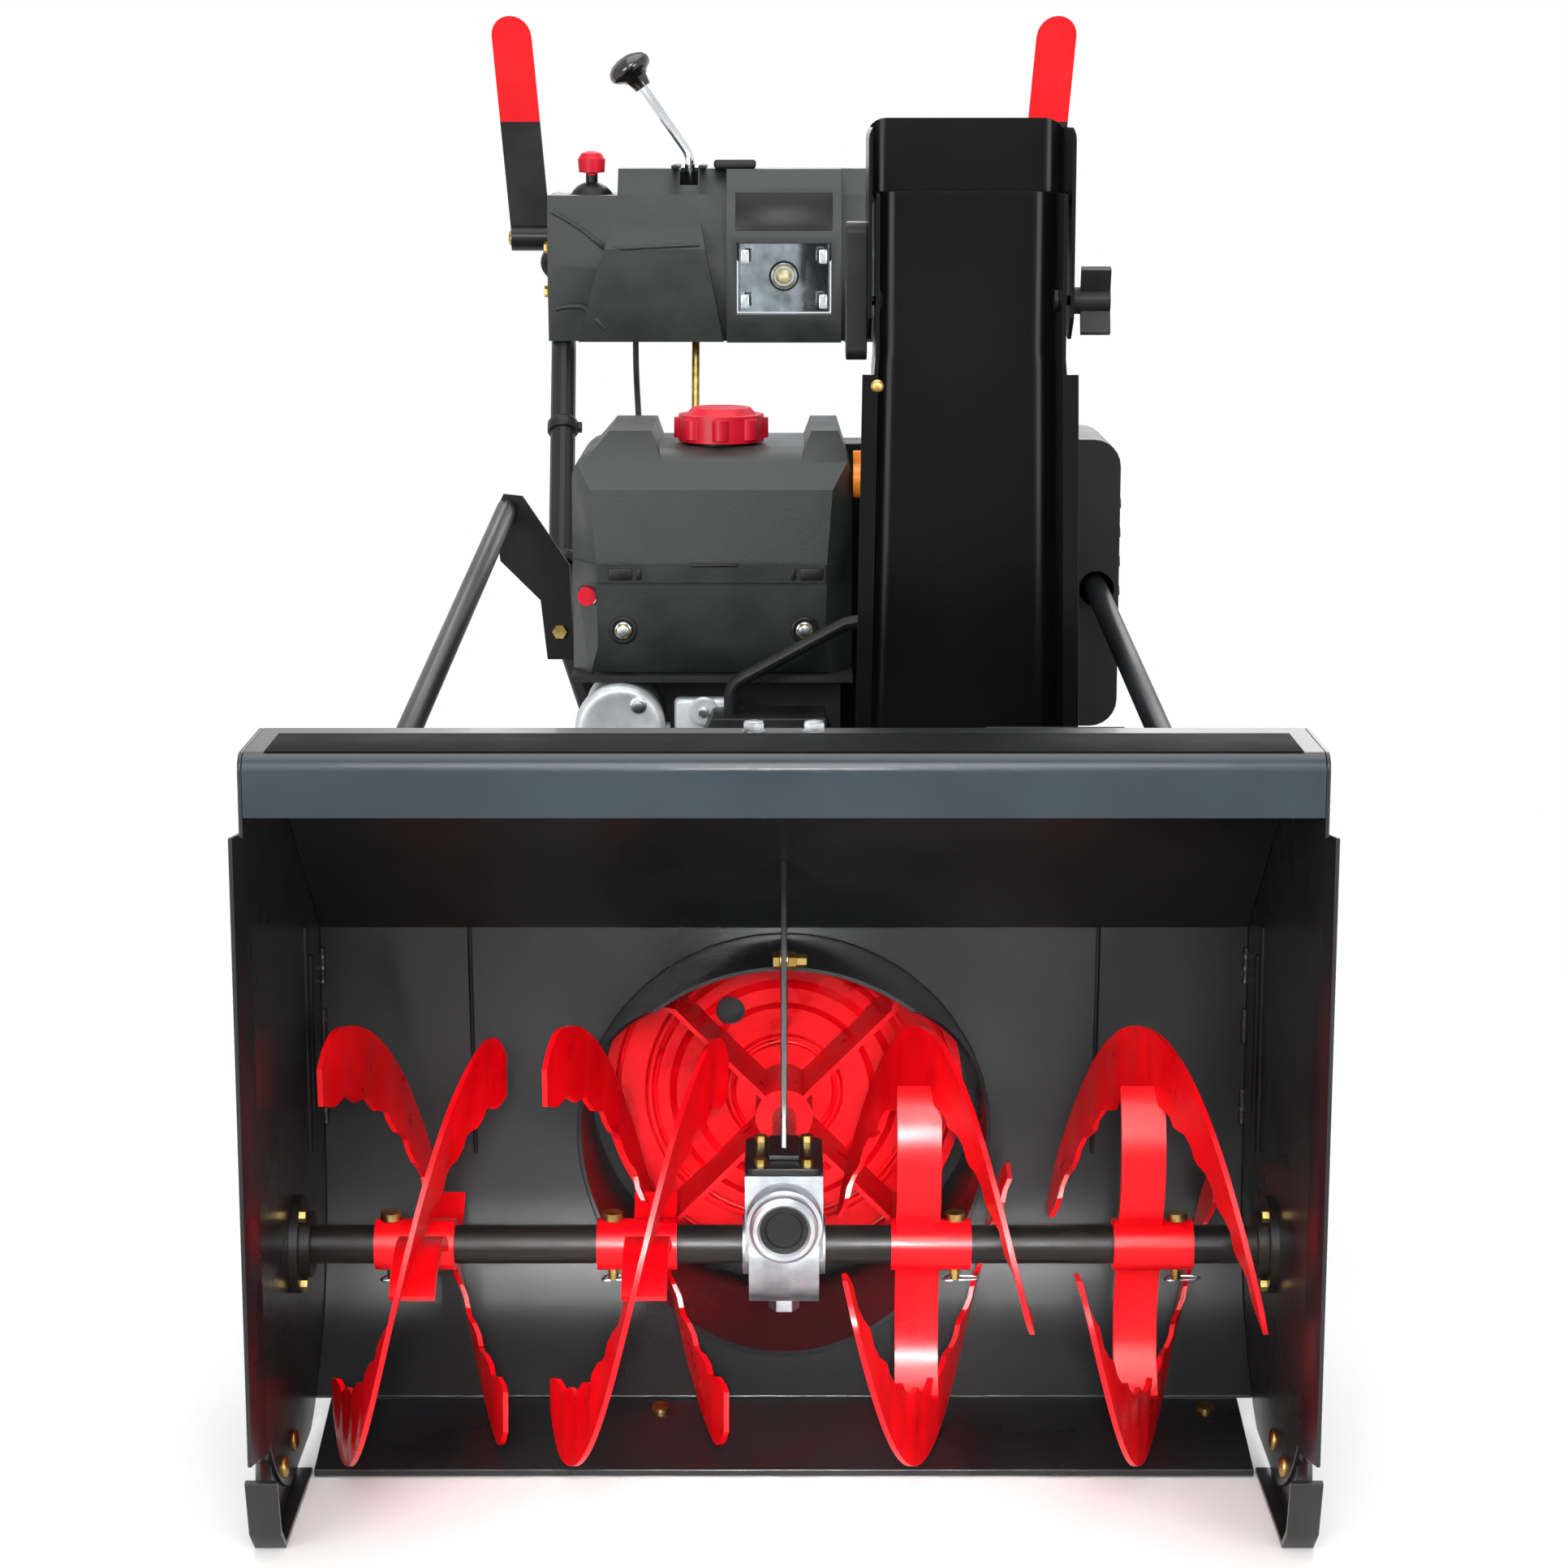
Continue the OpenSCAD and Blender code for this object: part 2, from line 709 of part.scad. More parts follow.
module worm_wheel() {
    teeth = 20;
    color("goldenrod")
        difference() {
            x_rod(wheel_gear_r, [-wheel_gear_t / 2, wheel_gear_t / 2], auger_y, auger_z);
            x_rod(shaft_r, [-wheel_gear_t, wheel_gear_t], auger_y, auger_z);
            for (i = [0 : teeth - 1])
                translate([0, fy(auger_y), auger_z])
                    rotate([i * 360 / teeth, 0, 0])
                        translate([-wheel_gear_t, -0.8, wheel_gear_r - 2])
                            cube([2 * wheel_gear_t, 1.6, 4]);
        }
}
// Impeller: a ribbed disc with four bent paddles
disc_back = drum_back - sheet - 14;
module impeller() {
    hub = 24;
    paddle = strip([[hub - 4, 2], [impeller_r - 30, 2], [impeller_r - 6, 18]], -4);
    color("red")
        difference() {
            union() {
                y_turn([
                    [worm_shaft_r, 0], [hub, 0], [hub, blade_l - 6], [impeller_r * 0.46, blade_l - 6],
                    [impeller_r * 0.5, blade_l - 11], [impeller_r * 0.58, blade_l - 11],
                    [impeller_r * 0.62, blade_l - 6], [impeller_r * 0.97, blade_l - 6],
                    [impeller_r * 0.97, blade_l], [worm_shaft_r, blade_l]
                ], disc_back - blade_l, 0, impeller_z);
                for (i = [0 : 3])
                    translate([0, fy(disc_back), impeller_z])
                        rotate([90, 45 + 90 * i, 0])
                            linear_extrude(blade_l)
                                polygon(paddle);
            }
            y_rod(worm_shaft_r, [0, disc_back + 1], 0, impeller_z);
            y_rod(12.5, [disc_back - 60, disc_back + 1], -46, impeller_z + 72);
        }
}
module impeller_shaft() {
    color("silver") {
        y_rod(worm_shaft_r, [case_front + 20, pulley_y + pulley_t], 0, impeller_z);
        y_rod(worm_r, [auger_y - 30, auger_y + 30], 0, impeller_z);
    }
}

// A grooved pulley; rims are the groove centres
module pulley(r, y, x, z, bore, grooves) {
    groove = 7;
    step = pulley_t + sheave_gap;
    profile = concat(
        [[bore, 0], [r, 0]],
        [
            for (i = [0 : grooves - 1])
                each [
                    [r, i * step + 2], [r - 11, i * step + pulley_t / 2 - groove / 2],
                    [r - 11, i * step + pulley_t / 2 + groove / 2], [r, i * step + pulley_t - 2]
                ]
        ],
        [[r, (grooves - 1) * step + pulley_t], [bore, (grooves - 1) * step + pulley_t]]
    );
    y_turn(profile, y, x, z);
}
module impeller_pulley() {
    color("gray")
        pulley(impeller_pulley_r, pulley_y, 0, impeller_z, worm_shaft_r, 1);
}
drive_pulley_r = 58;
module crank_pulley() {
    color("gray") {
        pulley(crank_pulley_r, pulley_y, 0, crank_z, 6, 2);
        y_rod(crank_r, [pulley_y - 4, engine_y + 60], 0, crank_z);
    }
}
module drive_disc() {
    color("gray") {
        pulley(drive_pulley_r, drive_y, 0, impeller_z, 6, 1);
        y_rod(worm_shaft_r, [drive_y, disc_y + 2], 0, impeller_z);
        y_rod(disc_r, [disc_y, disc_y + disc_t], 0, impeller_z);
    }
}
// A belt runs in the grooves of two pulleys, clear of both
module belt(r_low, y) {
    belt_t = 7;
    low = r_low - 11 + gap;
    high = crank_pulley_r - 11 + gap;
    mid = fy(y + pulley_t / 2 + 3);
    translate([0, mid, 0])
        rotate([90, 0, 0])
            linear_extrude(6)
                difference() {
                    hull() {
                        translate([0, impeller_z])
                            circle(low + belt_t, $fn = 48);
                        translate([0, crank_z])
                            circle(high + belt_t, $fn = 48);
                    }
                    hull() {
                        translate([0, impeller_z])
                            circle(low, $fn = 48);
                        translate([0, crank_z])
                            circle(high, $fn = 48);
                    }
                }
}
module belts() {
    color("black") {
        belt(impeller_pulley_r, pulley_y);
        belt(drive_pulley_r, drive_y);
    }
}
hex_r = 10;
module hex_shaft() {
    color("silver") {
        x_rod(hex_r, [-frame_half + 12, frame_half - 12], friction_y, impeller_z, 6);
        x_rod(hex_r - 2, [-frame_half, frame_half], friction_y, impeller_z);
    }
}
friction_x = 42;
module friction_wheel() {
    color("dimgray")
        difference() {
            union() {
                x_rod(friction_r, [friction_x - 7, friction_x + 7], friction_y, impeller_z);
                x_rod(24, [friction_x - 14, friction_x + 14], friction_y, impeller_z);
            }
            x_rod(hex_r + 0.15, [friction_x - 15, friction_x + 15], friction_y, impeller_z, 6);
        }
}
// Drive frame: a steel box, open below, with a cross plate that carries the drive disc
module frame_box() {
    slot = impeller_pulley_r + 12;
    cross_y = disc_y - 12;
    color("black")
        difference() {
            union() {
                difference() {
                    box([-frame_half, frame_half], [frame_y, frame_end], [frame_bottom, frame_top]);
                    box(
                        [-frame_half + sheet, frame_half - sheet],
                        [frame_y + sheet, frame_end - sheet], [frame_bottom - 1, frame_top - sheet]
                    );
                }
                box(
                    [-frame_half + 1, frame_half - 1], [cross_y, cross_y + 4],
                    [impeller_z - 70, frame_top - 1]
                );
            }
            y_rod(38, [frame_y - 1, frame_y + 9], 0, impeller_z);
            box([-slot, slot], [frame_y + 6, cross_y - 2], [frame_top - 9, frame_top + 1]);
            y_rod(worm_shaft_r + fit, [cross_y - 1, cross_y + 5], 0, impeller_z);
            x_rod(hex_r - 2 + fit, [-frame_half - 1, frame_half + 1], friction_y, impeller_z);
            x_rod(bush_r, [-frame_half - 1, frame_half + 1], axle_y, wheel_r);
        }
}
// Wheels: each rim has its own half axle
module rim(side) {
    inner = tyre_x + 20;
    outer = tyre_x + tyre_w - 20;
    mirror([side < 0 ? 1 : 0, 0, 0])
        color("gainsboro") {
            x_rod(axle_r, [6, outer + 12], axle_y, wheel_r);
            difference() {
                x_turn([
                    [axle_r - 1, 30], [30, 30], [30, 62], [72, 70], [rim_r - 8, 62], [rim_r - 8, 4],
                    [rim_r + 8, 0], [rim_r + 8, 4], [rim_r, 8], [rim_r, outer - inner - 8],
                    [rim_r + 8, outer - inner - 4], [rim_r + 8, outer - inner],
                    [rim_r - 4, outer - inner - 4], [rim_r - 4, 68], [74, 76], [34, 70],
                    [34, outer - inner - 14], [axle_r - 1, outer - inner - 14]
                ], inner, axle_y, wheel_r);
                for (i = [0 : 3])
                    translate([0, fy(axle_y), wheel_r])
                        rotate([45 + 90 * i, 0, 0])
                            translate([inner, 0, 54])
                                rotate([0, 90, 0])
                                    cylinder(r = 9, h = tyre_w);
            }
        }
}
module left_rim() {
    rim(-1);
}
module right_rim() {
    rim(1);
}
// Tyre: a hollow carcass with chevron lugs
lug_n = 15;
lug_h = 11;
module tyre(side) {
    carcass = wheel_r - lug_h;
    half = tyre_w / 2;
    bead = half - 28;
    skin = 9;
    outline = concat(
        [[rim_r, -bead], [rim_r + 10, -bead]],
        [[rim_r + 40, -half], [carcass - 34, -half], [carcass - 8, -half + 16], [carcass, -half + 42]],
        [[carcass, half - 42], [carcass - 8, half - 16], [carcass - 34, half], [rim_r + 40, half]],
        [[rim_r + 10, bead], [rim_r, bead], [rim_r, bead - skin]],
        [[rim_r + 16, bead - skin], [rim_r + 42, half - skin], [carcass - 36, half - skin]],
        [[carcass - skin, half - 46], [carcass - skin, -half + 46]],
        [[carcass - 36, -half + skin], [rim_r + 42, -half + skin], [rim_r + 16, skin - bead]],
        [[rim_r, skin - bead]]
    );
    mirror([side < 0 ? 1 : 0, 0, 0])
        color("black")
            translate([tyre_x + half, fy(axle_y), wheel_r])
                rotate([0, 90, 0]) {
                    rotate_extrude()
                        polygon(outline);
                    intersection() {
                        union() {
                            for (i = [0 : lug_n - 1], k = [-1, 1])
                                rotate([0, 0, (i + (k > 0 ? 0.5 : 0)) * 360 / lug_n])
                                    translate([carcass - 12, 0, k * 3])
                                        rotate([k * 28, 0, 0])
                                            translate([0, -9, k > 0 ? 0 : -half - 8])
                                                cube([40, 18, half + 8]);
                        }
                        translate([0, 0, -half + 4])
                            cylinder(r = wheel_r, h = tyre_w - 8);
                    }
                }
}
module left_tyre() {
    tyre(-1);
}
module right_tyre() {
    tyre(1);
}

// Engine: crankcase with a finned cylinder to the right, and a deck under the shroud
barrel_y = engine_y + 100;
module engine_block() {
    deck = [shroud_z - 6, shroud_z];
    color("lightgray")
        difference() {
            union() {
                box([-100, 120], [engine_y, engine_end], [frame_top, frame_top + 14]);
                box([-92, 100], [engine_y + 5, engine_end - 5], [frame_top + 13, crank_z + 60]);
                y_rod(88, [engine_y - 4, engine_end], 0, crank_z);
                box([-104, 50], [engine_y + 40, engine_end - 20], [crank_z + 50, deck[1] - 1]);
                box([-shroud_left, shroud_right], [shroud_y, engine_end], deck);
                x_rod(54, [90, 214], barrel_y, crank_z + 10);
                for (i = [0 : 7])
                    box(
                        [112 + 12 * i, 115 + 12 * i], [barrel_y - 70, barrel_y + 70],
                        [crank_z - 26, crank_z + 78]
                    );
                box([208, 238], [barrel_y - 62, barrel_y + 62], [crank_z - 26, crank_z + 70]);
                xz_plate(
                    rounded(237, 262, crank_z - 24, crank_z + 60, 10),
                    [barrel_y - 50, barrel_y + 50]
                );
            }
            y_rod(crank_r + fit, [engine_y - 9, engine_y + 62], 0, crank_z);
        }
}
// Shroud: a moulded hood, open below and behind
hood_rise = shroud_top - shroud_z;
hood_path = [
    [shroud_y + 14, shroud_z], [shroud_y, shroud_z + 26], [shroud_y + 3, shroud_z + 0.52 * hood_rise],
    [shroud_y + 12, shroud_top - 32], [shroud_y + 40, shroud_top - 8], [shroud_y + 76, shroud_top],
    [engine_end, shroud_top]
];
hood_inside = shifted(hood_path, -wall);
cap_x = -56;
cap_y = shroud_y + 108;
button_x = -shroud_left + 14;
button_z = shroud_z + 68;
button_r = 8;
choke_y = shroud_y + 54;
choke_z = shroud_top - 28;
choke_pin_r = 5;
corner_cut = [24, 46];
rib_z = [shroud_z + 82, shroud_z + 97];
function hood_plan(inset, rear) = [
    [inset - shroud_left, rear], [inset - shroud_left, shroud_y + corner_cut[1]],
    [corner_cut[0] + inset / 2 - shroud_left, shroud_y + inset],
    [shroud_right - corner_cut[0] - inset / 2, shroud_y + inset],
    [shroud_right - inset, shroud_y + corner_cut[1]], [shroud_right - inset, rear]
];
module hood_form(inset, side, low, rear) {
    corner = 26;
    front = concat(
        [[inset - shroud_left, low], [shroud_right - inset, low]],
        arc([shroud_right - corner, shroud_top - corner], corner - inset, 0, 90),
        arc([corner - shroud_left, shroud_top - corner], corner - inset, 90, 180)
    );
    intersection() {
        xz_plate(front, [shroud_y - 1, rear]);
        yz_plate(concat(side, [[rear, low]]), [-shroud_left, shroud_right]);
        xy_plate(hood_plan(inset, rear), [low, shroud_top]);
    }
}
module hood_shoulders() {
    high = shroud_top + 16;
    low = shroud_top - 22;
    side = [[shroud_y + 30, low], [shroud_y + 52, high], [engine_end, high], [engine_end, low]];
    intersection() {
        union() {
            xz_plate(
                [[-shroud_left, low], [cap_x - 97, high], [cap_x - 60, high], [cap_x - 47, low]],
                [shroud_y, engine_end]
            );
            xz_plate(
                [[cap_x + 66, low], [cap_x + 80, high], [cap_x + 104, high], [shroud_right, low]],
                [shroud_y, engine_end]
            );
        }
        yz_plate(side, [-shroud_left, shroud_right]);
        xy_plate(hood_plan(0, engine_end), [low, high]);
    }
}
module engine_shroud() {
    color([0.18, 0.19, 0.19])
        difference() {
            union() {
                hood_shoulders();
                hood_form(0, hood_path, shroud_z, engine_end);
                xy_plate([for (p = hood_plan(0, engine_end)) p - [0, 2]], rib_z);
            }
            hood_form(wall, concat([[shroud_y + wall, shroud_z - 1]], hood_inside), shroud_z - 1, engine_end + 1);
            z_rod(neck_fuel_r + 2, [shroud_top - 30, shroud_top + 1], cap_x, cap_y);
            y_rod(button_r + gap, [shroud_y - 1, shroud_y + 44], button_x, button_z);
            x_rod(choke_pin_r + fit, [shroud_right - 9, shroud_right + 1], choke_y, choke_z);
        }
}
module blower_housing() {
    low = frame_top + 8;
    outline = concat(
        arc([0, crank_z + 30], 168, -35, 15, 8),
        arc([shroud_right + 60, shroud_top - 50], 40, 0, 90),
        arc([-shroud_left + 44, shroud_top - 50], 40, 90, 180),
        arc([0, crank_z + 30], 168, 165, 215, 8),
        [[-120, low], [120, low]]
    );
    color([0.16, 0.16, 0.17]) {
        xz_plate(outline, [engine_end, engine_end + 62]);
        y_turn(
            [[0, 0], [112, 0], [106, 14], [86, 22], [40, 24], [0, 24]],
            engine_end + 62, 0, crank_z + 10
        );
    }
}
module fuel_tank() {
    x = [-shroud_left + 20, shroud_right - 20];
    y = [shroud_y + corner_cut[1] + 20, engine_end - 10];
    tank_top = shroud_top - 30;
    color([0.12, 0.12, 0.12]) {
        difference() {
            xz_plate(rounded(x[0], x[1], shroud_z, tank_top, 18), y);
            xz_plate(
                rounded(x[0] + wall, x[1] - wall, shroud_z + wall, tank_top - wall, 15), y + [wall, -wall]
            );
            z_rod(neck_fuel_r - 4, [tank_top - 9, tank_top + 1], cap_x, cap_y);
        }
        difference() {
            z_rod(neck_fuel_r, [tank_top - 1, shroud_top + 13], cap_x, cap_y);
            z_rod(neck_fuel_r - 4, [tank_top - 2, shroud_top + 14], cap_x, cap_y);
        }
    }
}
module fuel_cap() {
    base = shroud_top + 2;
    lobes = 8;
    color("crimson")
        translate([cap_x, fy(cap_y), base])
            difference() {
                union() {
                    cylinder(r = cap_r, h = 24);
                    for (i = [0 : lobes - 1])
                        rotate([0, 0, i * 360 / lobes])
                            translate([cap_r - 4, 0, 3])
                                cylinder(r = 8, h = 18);
                    translate([0, 0, 23])
                        cylinder(r1 = cap_r - 6, r2 = cap_r - 12, h = 7);
                }
                translate([0, 0, -1])
                    cylinder(r = neck_fuel_r + 0.3, h = 13);
            }
}
module choke_knob() {
    color("orange") {
        x_rod(choke_pin_r, [shroud_right - 8, shroud_right + 4], choke_y, choke_z);
        x_rod(15, [shroud_right + gap, shroud_right + 13], choke_y, choke_z);
        box(
            [shroud_right + gap, shroud_right + 13],
            [choke_y - 4, choke_y + 4], [choke_z, choke_z + 26]
        );
    }
}
module start_button() {
    rear = shroud_y + corner_cut[1] + 10;
    color("red") {
        y_rod(button_r, [rear - 46, rear], button_x, button_z);
        y_rod(button_r + 1.5, [rear - 8, rear], button_x, button_z);
    }
}
module muffler_guard() {
    x = [shroud_right + 22, 296];
    y = [engine_y + 46, engine_end - 4];
    low = crank_z + 78;
    color([0.2, 0.2, 0.21])
        difference() {
            xz_plate(rounded(x[0], x[1], low, shroud_top + 8, 24), y);
            xz_plate(rounded(x[0] + 2, x[1] - 2, low + 2, shroud_top + 6, 22), y + [2, -2]);
            for (i = [0 : 5])
                box([x[0] + 40, x[1] - 40], [y[0] - 1, y[0] + 9], [low + 40 + 26 * i, low + 50 + 26 * i]);
            rod(brace_top, brace_low, brace_r + 5);
        }
}
module starter_motor() {
    x = -143;
    z = crank_z + 86;
    color("silver") {
        y_rod(36, [shroud_y - 8, engine_y + 96], x, z);
        y_rod(39, [shroud_y - 6, shroud_y + 14], x, z);
        box([x, -100], [engine_y + 4, engine_y + 20], [frame_top + 16, z]);
        box([-101, -92], [engine_y + 6, engine_y + 18], [frame_top + 16, crank_z + 50]);
    }
}
// Belt cover: a moulded hood over the pulleys in front of the engine
cover_y = [frame_y + 1, engine_y - 6];
belt_cover_top = crank_z + 105;
module belt_cover() {
    outline = [
        [-105, frame_top], [-105, crank_z + 10], [-62, belt_cover_top], [36, belt_cover_top],
        [48, crank_z + 30], [80, crank_z - 40], [80, frame_top]
    ];
    inner = [
        [-105 + wall, frame_top - 1], [-105 + wall, crank_z + 9], [-61, belt_cover_top - wall],
        [34, belt_cover_top - wall], [44, crank_z + 29], [80 - wall, crank_z - 41], [80 - wall, frame_top - 1]
    ];
    color([0.15, 0.15, 0.15])
        difference() {
            xz_plate(outline, cover_y);
            xz_plate(inner, [cover_y[0] + wall, cover_y[1] + 1]);
        }
}

// Handles, their braces and grips
module handle_tubes() {
    color("black")
        both_sides() {
            bent_tube(tube_path, tube_r, tube_bend);
            trigger_lug();
        }
}
lug_t = 6;
trigger_pin_r = 3;
module trigger_lug() {
    p = trigger_at;
    difference() {
        box(
            [p[0] - lug_t / 2, p[0] + lug_t / 2], [p[1] - 8, p[1] + 8],
            [p[2] - 9, p[2] + trigger_drop - 4]
        );
        rod(tube_low[3], tube_end, tube_r - 2);
    }
    x_rod(trigger_pin_r, [p[0] - 16, p[0]], p[1], p[2]);
}
module trigger(side) {
    p = trigger_at;
    x = [p[0] - 14, p[0] - lug_t / 2 - gap];
    slope = grip_dir[2] / grip_dir[1];
    blade = [
        [p[1], p[2] - 5], [p[1] + 60, p[2] + 60 * slope - 14], [p[1] + 118, p[2] + 118 * slope - 10]
    ];
    mirror([side < 0 ? 1 : 0, 0, 0])
        color("black")
            difference() {
                union() {
                    x_rod(8, x, p[1], p[2]);
                    yz_plate(strip(blade, 6), [x[0] - 3, x[1]]);
                }
                x_rod(trigger_pin_r + fit, [x[0] - 9, x[1] + 1], p[1], p[2]);
            }
}
module left_trigger() {
    trigger(-1);
}
module right_trigger() {
    trigger(1);
}
module hand_grips() {
    color("black")
        both_sides()
            difference() {
                rod(grip_end - grip_l * grip_dir, grip_end, grip_r);
                rod(tube_low[3], tube_end, tube_r);
            }
}
gusset_y = frame_end - 55 - tube_r;
gusset_t = 4;
brace_top = [tube_x + 100, gusset_y + 10, frame_top + 352];
brace_low = [tube_x + 138, 180, housing_h - 55];
module handle_braces() {
    plate = [
        for (p = [
            [38, 205], [64, 205], [70, 262], [108, 300], [112, 346], [104, 364], [86, 362], [42, 296]
        ])
            p + [tube_x, frame_top]
    ];
    color("black")
        both_sides() {
            xz_plate(plate, [gusset_y - gusset_t, gusset_y]);
            difference() {
                rod(brace_top, brace_low, brace_r);
                yz_plate(housing_outside, [0, half_w]);
                box([0, half_w], [gusset_y - gusset_t, gusset_y + 40], [frame_top, dash_z]);
            }
        }
}

// Console between the handles: a folded shell with side walls and inner ribs
pod_out = 24;
dash_path = [
    [dash_y + pod_out + 8, dash_low], [dash_y + pod_out, dash_z - 95], [dash_y + pod_out + 10, dash_z - 25],
    [dash_y + pod_out + 32, dash_z], [dash_y + 137, dash_z], [dash_y + 172, dash_z - 25],
    [dash_y + 172, dash_z - 96]
];
dash_side = concat(dash_path, [[dash_y + 88, dash_low]]);
dash_inside = concat(shifted(dash_path, -dash_wall), [[dash_y + 88, dash_low + 2]]);
lamp_z = dash_z - 107;
lamp_y = dash_y + 2;
rib_t = 6;
rib_half = 20;
slot_half = 40;
gimbal_pin_r = 3;
column_half = lamp_w / 2 + 10;
step_x = stick_x - boot_r - 4;
column_side = [
    [dash_y + 6, dash_low], [dash_y, dash_low + 20], [dash_y, dash_z - 64], [dash_y + 13, dash_z - 18],
    [dash_y + 34, dash_z], [dash_y + 60, dash_z], [dash_y + pod_out + 2, dash_z - 95],
    [dash_y + pod_out + 10, dash_low]
];
pod_side = [
    [dash_y + 16, dash_low], [dash_y + 9, dash_low + 40], [dash_y + 9, dash_z - 78],
    [dash_y + pod_out + 3, dash_z - 54], [dash_y + pod_out + 2, dash_z - 95],
    [dash_y + pod_out + 10, dash_low]
];
pod_front = [
    [column_half + 3, dash_low - 1], [dash_half - 30, dash_low - 1], [dash_half - 50, dash_low + 70],
    [dash_half - 66, dash_z - 53], [column_half + 26, dash_z - 53]
];
// The formed front: the column that carries the lamp, and a pod on either side of it
module dash_front() {
    yz_plate(column_side, [-column_half, column_half]);
    both_sides()
        intersection() {
            yz_plate(pod_side, [column_half, dash_half]);
            xz_plate(pod_front, [dash_y, dash_y + 60]);
        }
}
module dash_end() {
    y = [dash_y, dash_y + 180];
    low = end_z - dash_wall;
    intersection() {
        union() {
            box([step_x - dash_wall, dash_half], y, [low, end_z]);
            box([step_x - dash_wall, step_x], y, [low, dash_z]);
        }
        yz_plate(dash_side, [0, dash_half]);
    }
}
module dash_panel() {
    color([0.2, 0.2, 0.2])
        difference() {
            union() {
                yz_plate(strip(dash_path, -dash_wall), [-dash_half, dash_half]);
                dash_front();
                both_sides() {
                    yz_plate(dash_side, [dash_half - dash_wall, dash_half]);
                    x_rod(11, [dash_half - 14, dash_half - 1], lever_y, lever_z);
                    dash_end();
                }
                for (x = [-shift_x - rib_half, -shift_x + rib_half])
                    yz_plate(dash_inside, [x - rib_t / 2, x + rib_t / 2]);
                for (k = [-1, 1])
                    box(
                        [-stick_x - 12, -stick_x + 12],
                        [stick_y + k * 32 - 3, stick_y + k * 32 + 3], [stick_z - 10, end_z - 1]
                    );
            }
            both_sides() {
                x_rod(lever_pin_r + fit, [dash_half - 20, dash_half + 1], lever_y, lever_z);
                bent_tube(tube_path, tube_r, tube_bend);
                box([step_x, dash_half + 1], [dash_y - 9, dash_y + 180], [end_z, dash_z + 1]);
            }
            x_rod(
                lever_pin_r + fit,
                [-shift_x - rib_half - rib_t, -shift_x + rib_half + rib_t], stick_y, shift_z
            );
            box(
                [-shift_x - 9, -shift_x + 9], [stick_y - slot_half, stick_y + slot_half],
                [dash_z - 20, dash_z + 1]
            );
            z_rod(boot_r + gap, [end_z - 20, end_z + 1], -stick_x, stick_y);
            y_rod(gimbal_pin_r + fit, [stick_y - 40, stick_y + 40], -stick_x, stick_z);
            box(
                [-lamp_w / 2, lamp_w / 2], [dash_y - 9, dash_y + 60],
                [lamp_z - lamp_h / 2, lamp_z + lamp_h / 2]
            );
        }
}
module headlight_reflector() {
    seat = 0.3;
    w = lamp_w / 2 - seat;
    h = lamp_h / 2 - seat;
    color("silver")
        difference() {
            xz_plate(rounded(-w, w, lamp_z - h, lamp_z + h, 8), [lamp_y + 4, lamp_y + 34]);
            for (i = [0 : 3])
                xz_plate(
                    rounded(-w + 3 + 8 * i, w - 3 - 8 * i, lamp_z - h + 3 + 6 * i, lamp_z + h - 3 - 6 * i, 6),
                    [lamp_y + 3 + 7 * i, lamp_y + 11 + 7 * i]
                );
        }
}
module headlight_lens() {
    seat = 0.3;
    w = lamp_w / 2 - seat;
    h = lamp_h / 2 - seat;
    color("lightcyan")
        xz_plate(rounded(-w, w, lamp_z - h, lamp_z + h, 8), [lamp_y, lamp_y + 4]);
}
// Clutch levers: flat bars that fold back onto the grips
module clutch_lever(side) {
    blade = [
        [lever_y - 3, lever_z], [lever_y - 9, lever_z + 0.5 * lever_l], [lever_y - 17, lever_z + lever_l]
    ];
    x = [lever_x - lever_w / 2, lever_x + lever_w / 2];
    lean = 18;
    upright = concat(
        [[x[0], lever_z - 2], [x[1], lever_z - 2]],
        arc([lever_x, lever_z + lever_l - lever_w / 2], lever_w / 2, 0, 180, 12)
    );
    front = [for (p = upright) p + [lean * (p[1] - lever_z) / lever_l, 0]];
    mirror([side < 0 ? 1 : 0, 0, 0])
        color("red") {
            x_rod(lever_pin_r, [dash_half - 14, x[1]], lever_y, lever_z);
            x_rod(13, x, lever_y, lever_z);
            intersection() {
                yz_plate(strip(blade, -7), [x[0] - 1, x[1] + lean]);
                xz_plate(front, [lever_y - 60, lever_y + 60]);
            }
        }
}
module left_clutch_lever() {
    clutch_lever(-1);
}
module right_clutch_lever() {
    clutch_lever(1);
}
module shift_lever() {
    rod_path = [
        [-shift_x, stick_y, shift_z], [-shift_x, stick_y, dash_z + 14], [-shift_x - 49, stick_y, dash_z + 84]
    ];
    tip = at(rod_path[2]);
    color("silver") {
        x_rod(lever_pin_r, [-shift_x - rib_half - 3, -shift_x + rib_half + 3], stick_y, shift_z);
        x_rod(10, [-shift_x - 9, -shift_x + 9], stick_y, shift_z);
        bent_tube(rod_path, 5, 20);
        translate(tip)
            rotate([0, -35, 0])
                rotate_extrude()
                    polygon([[0, -4], [8, -4], [10, 6], [19, 12], [21, 20], [17, 27], [8, 30], [0, 30]]);
    }
}
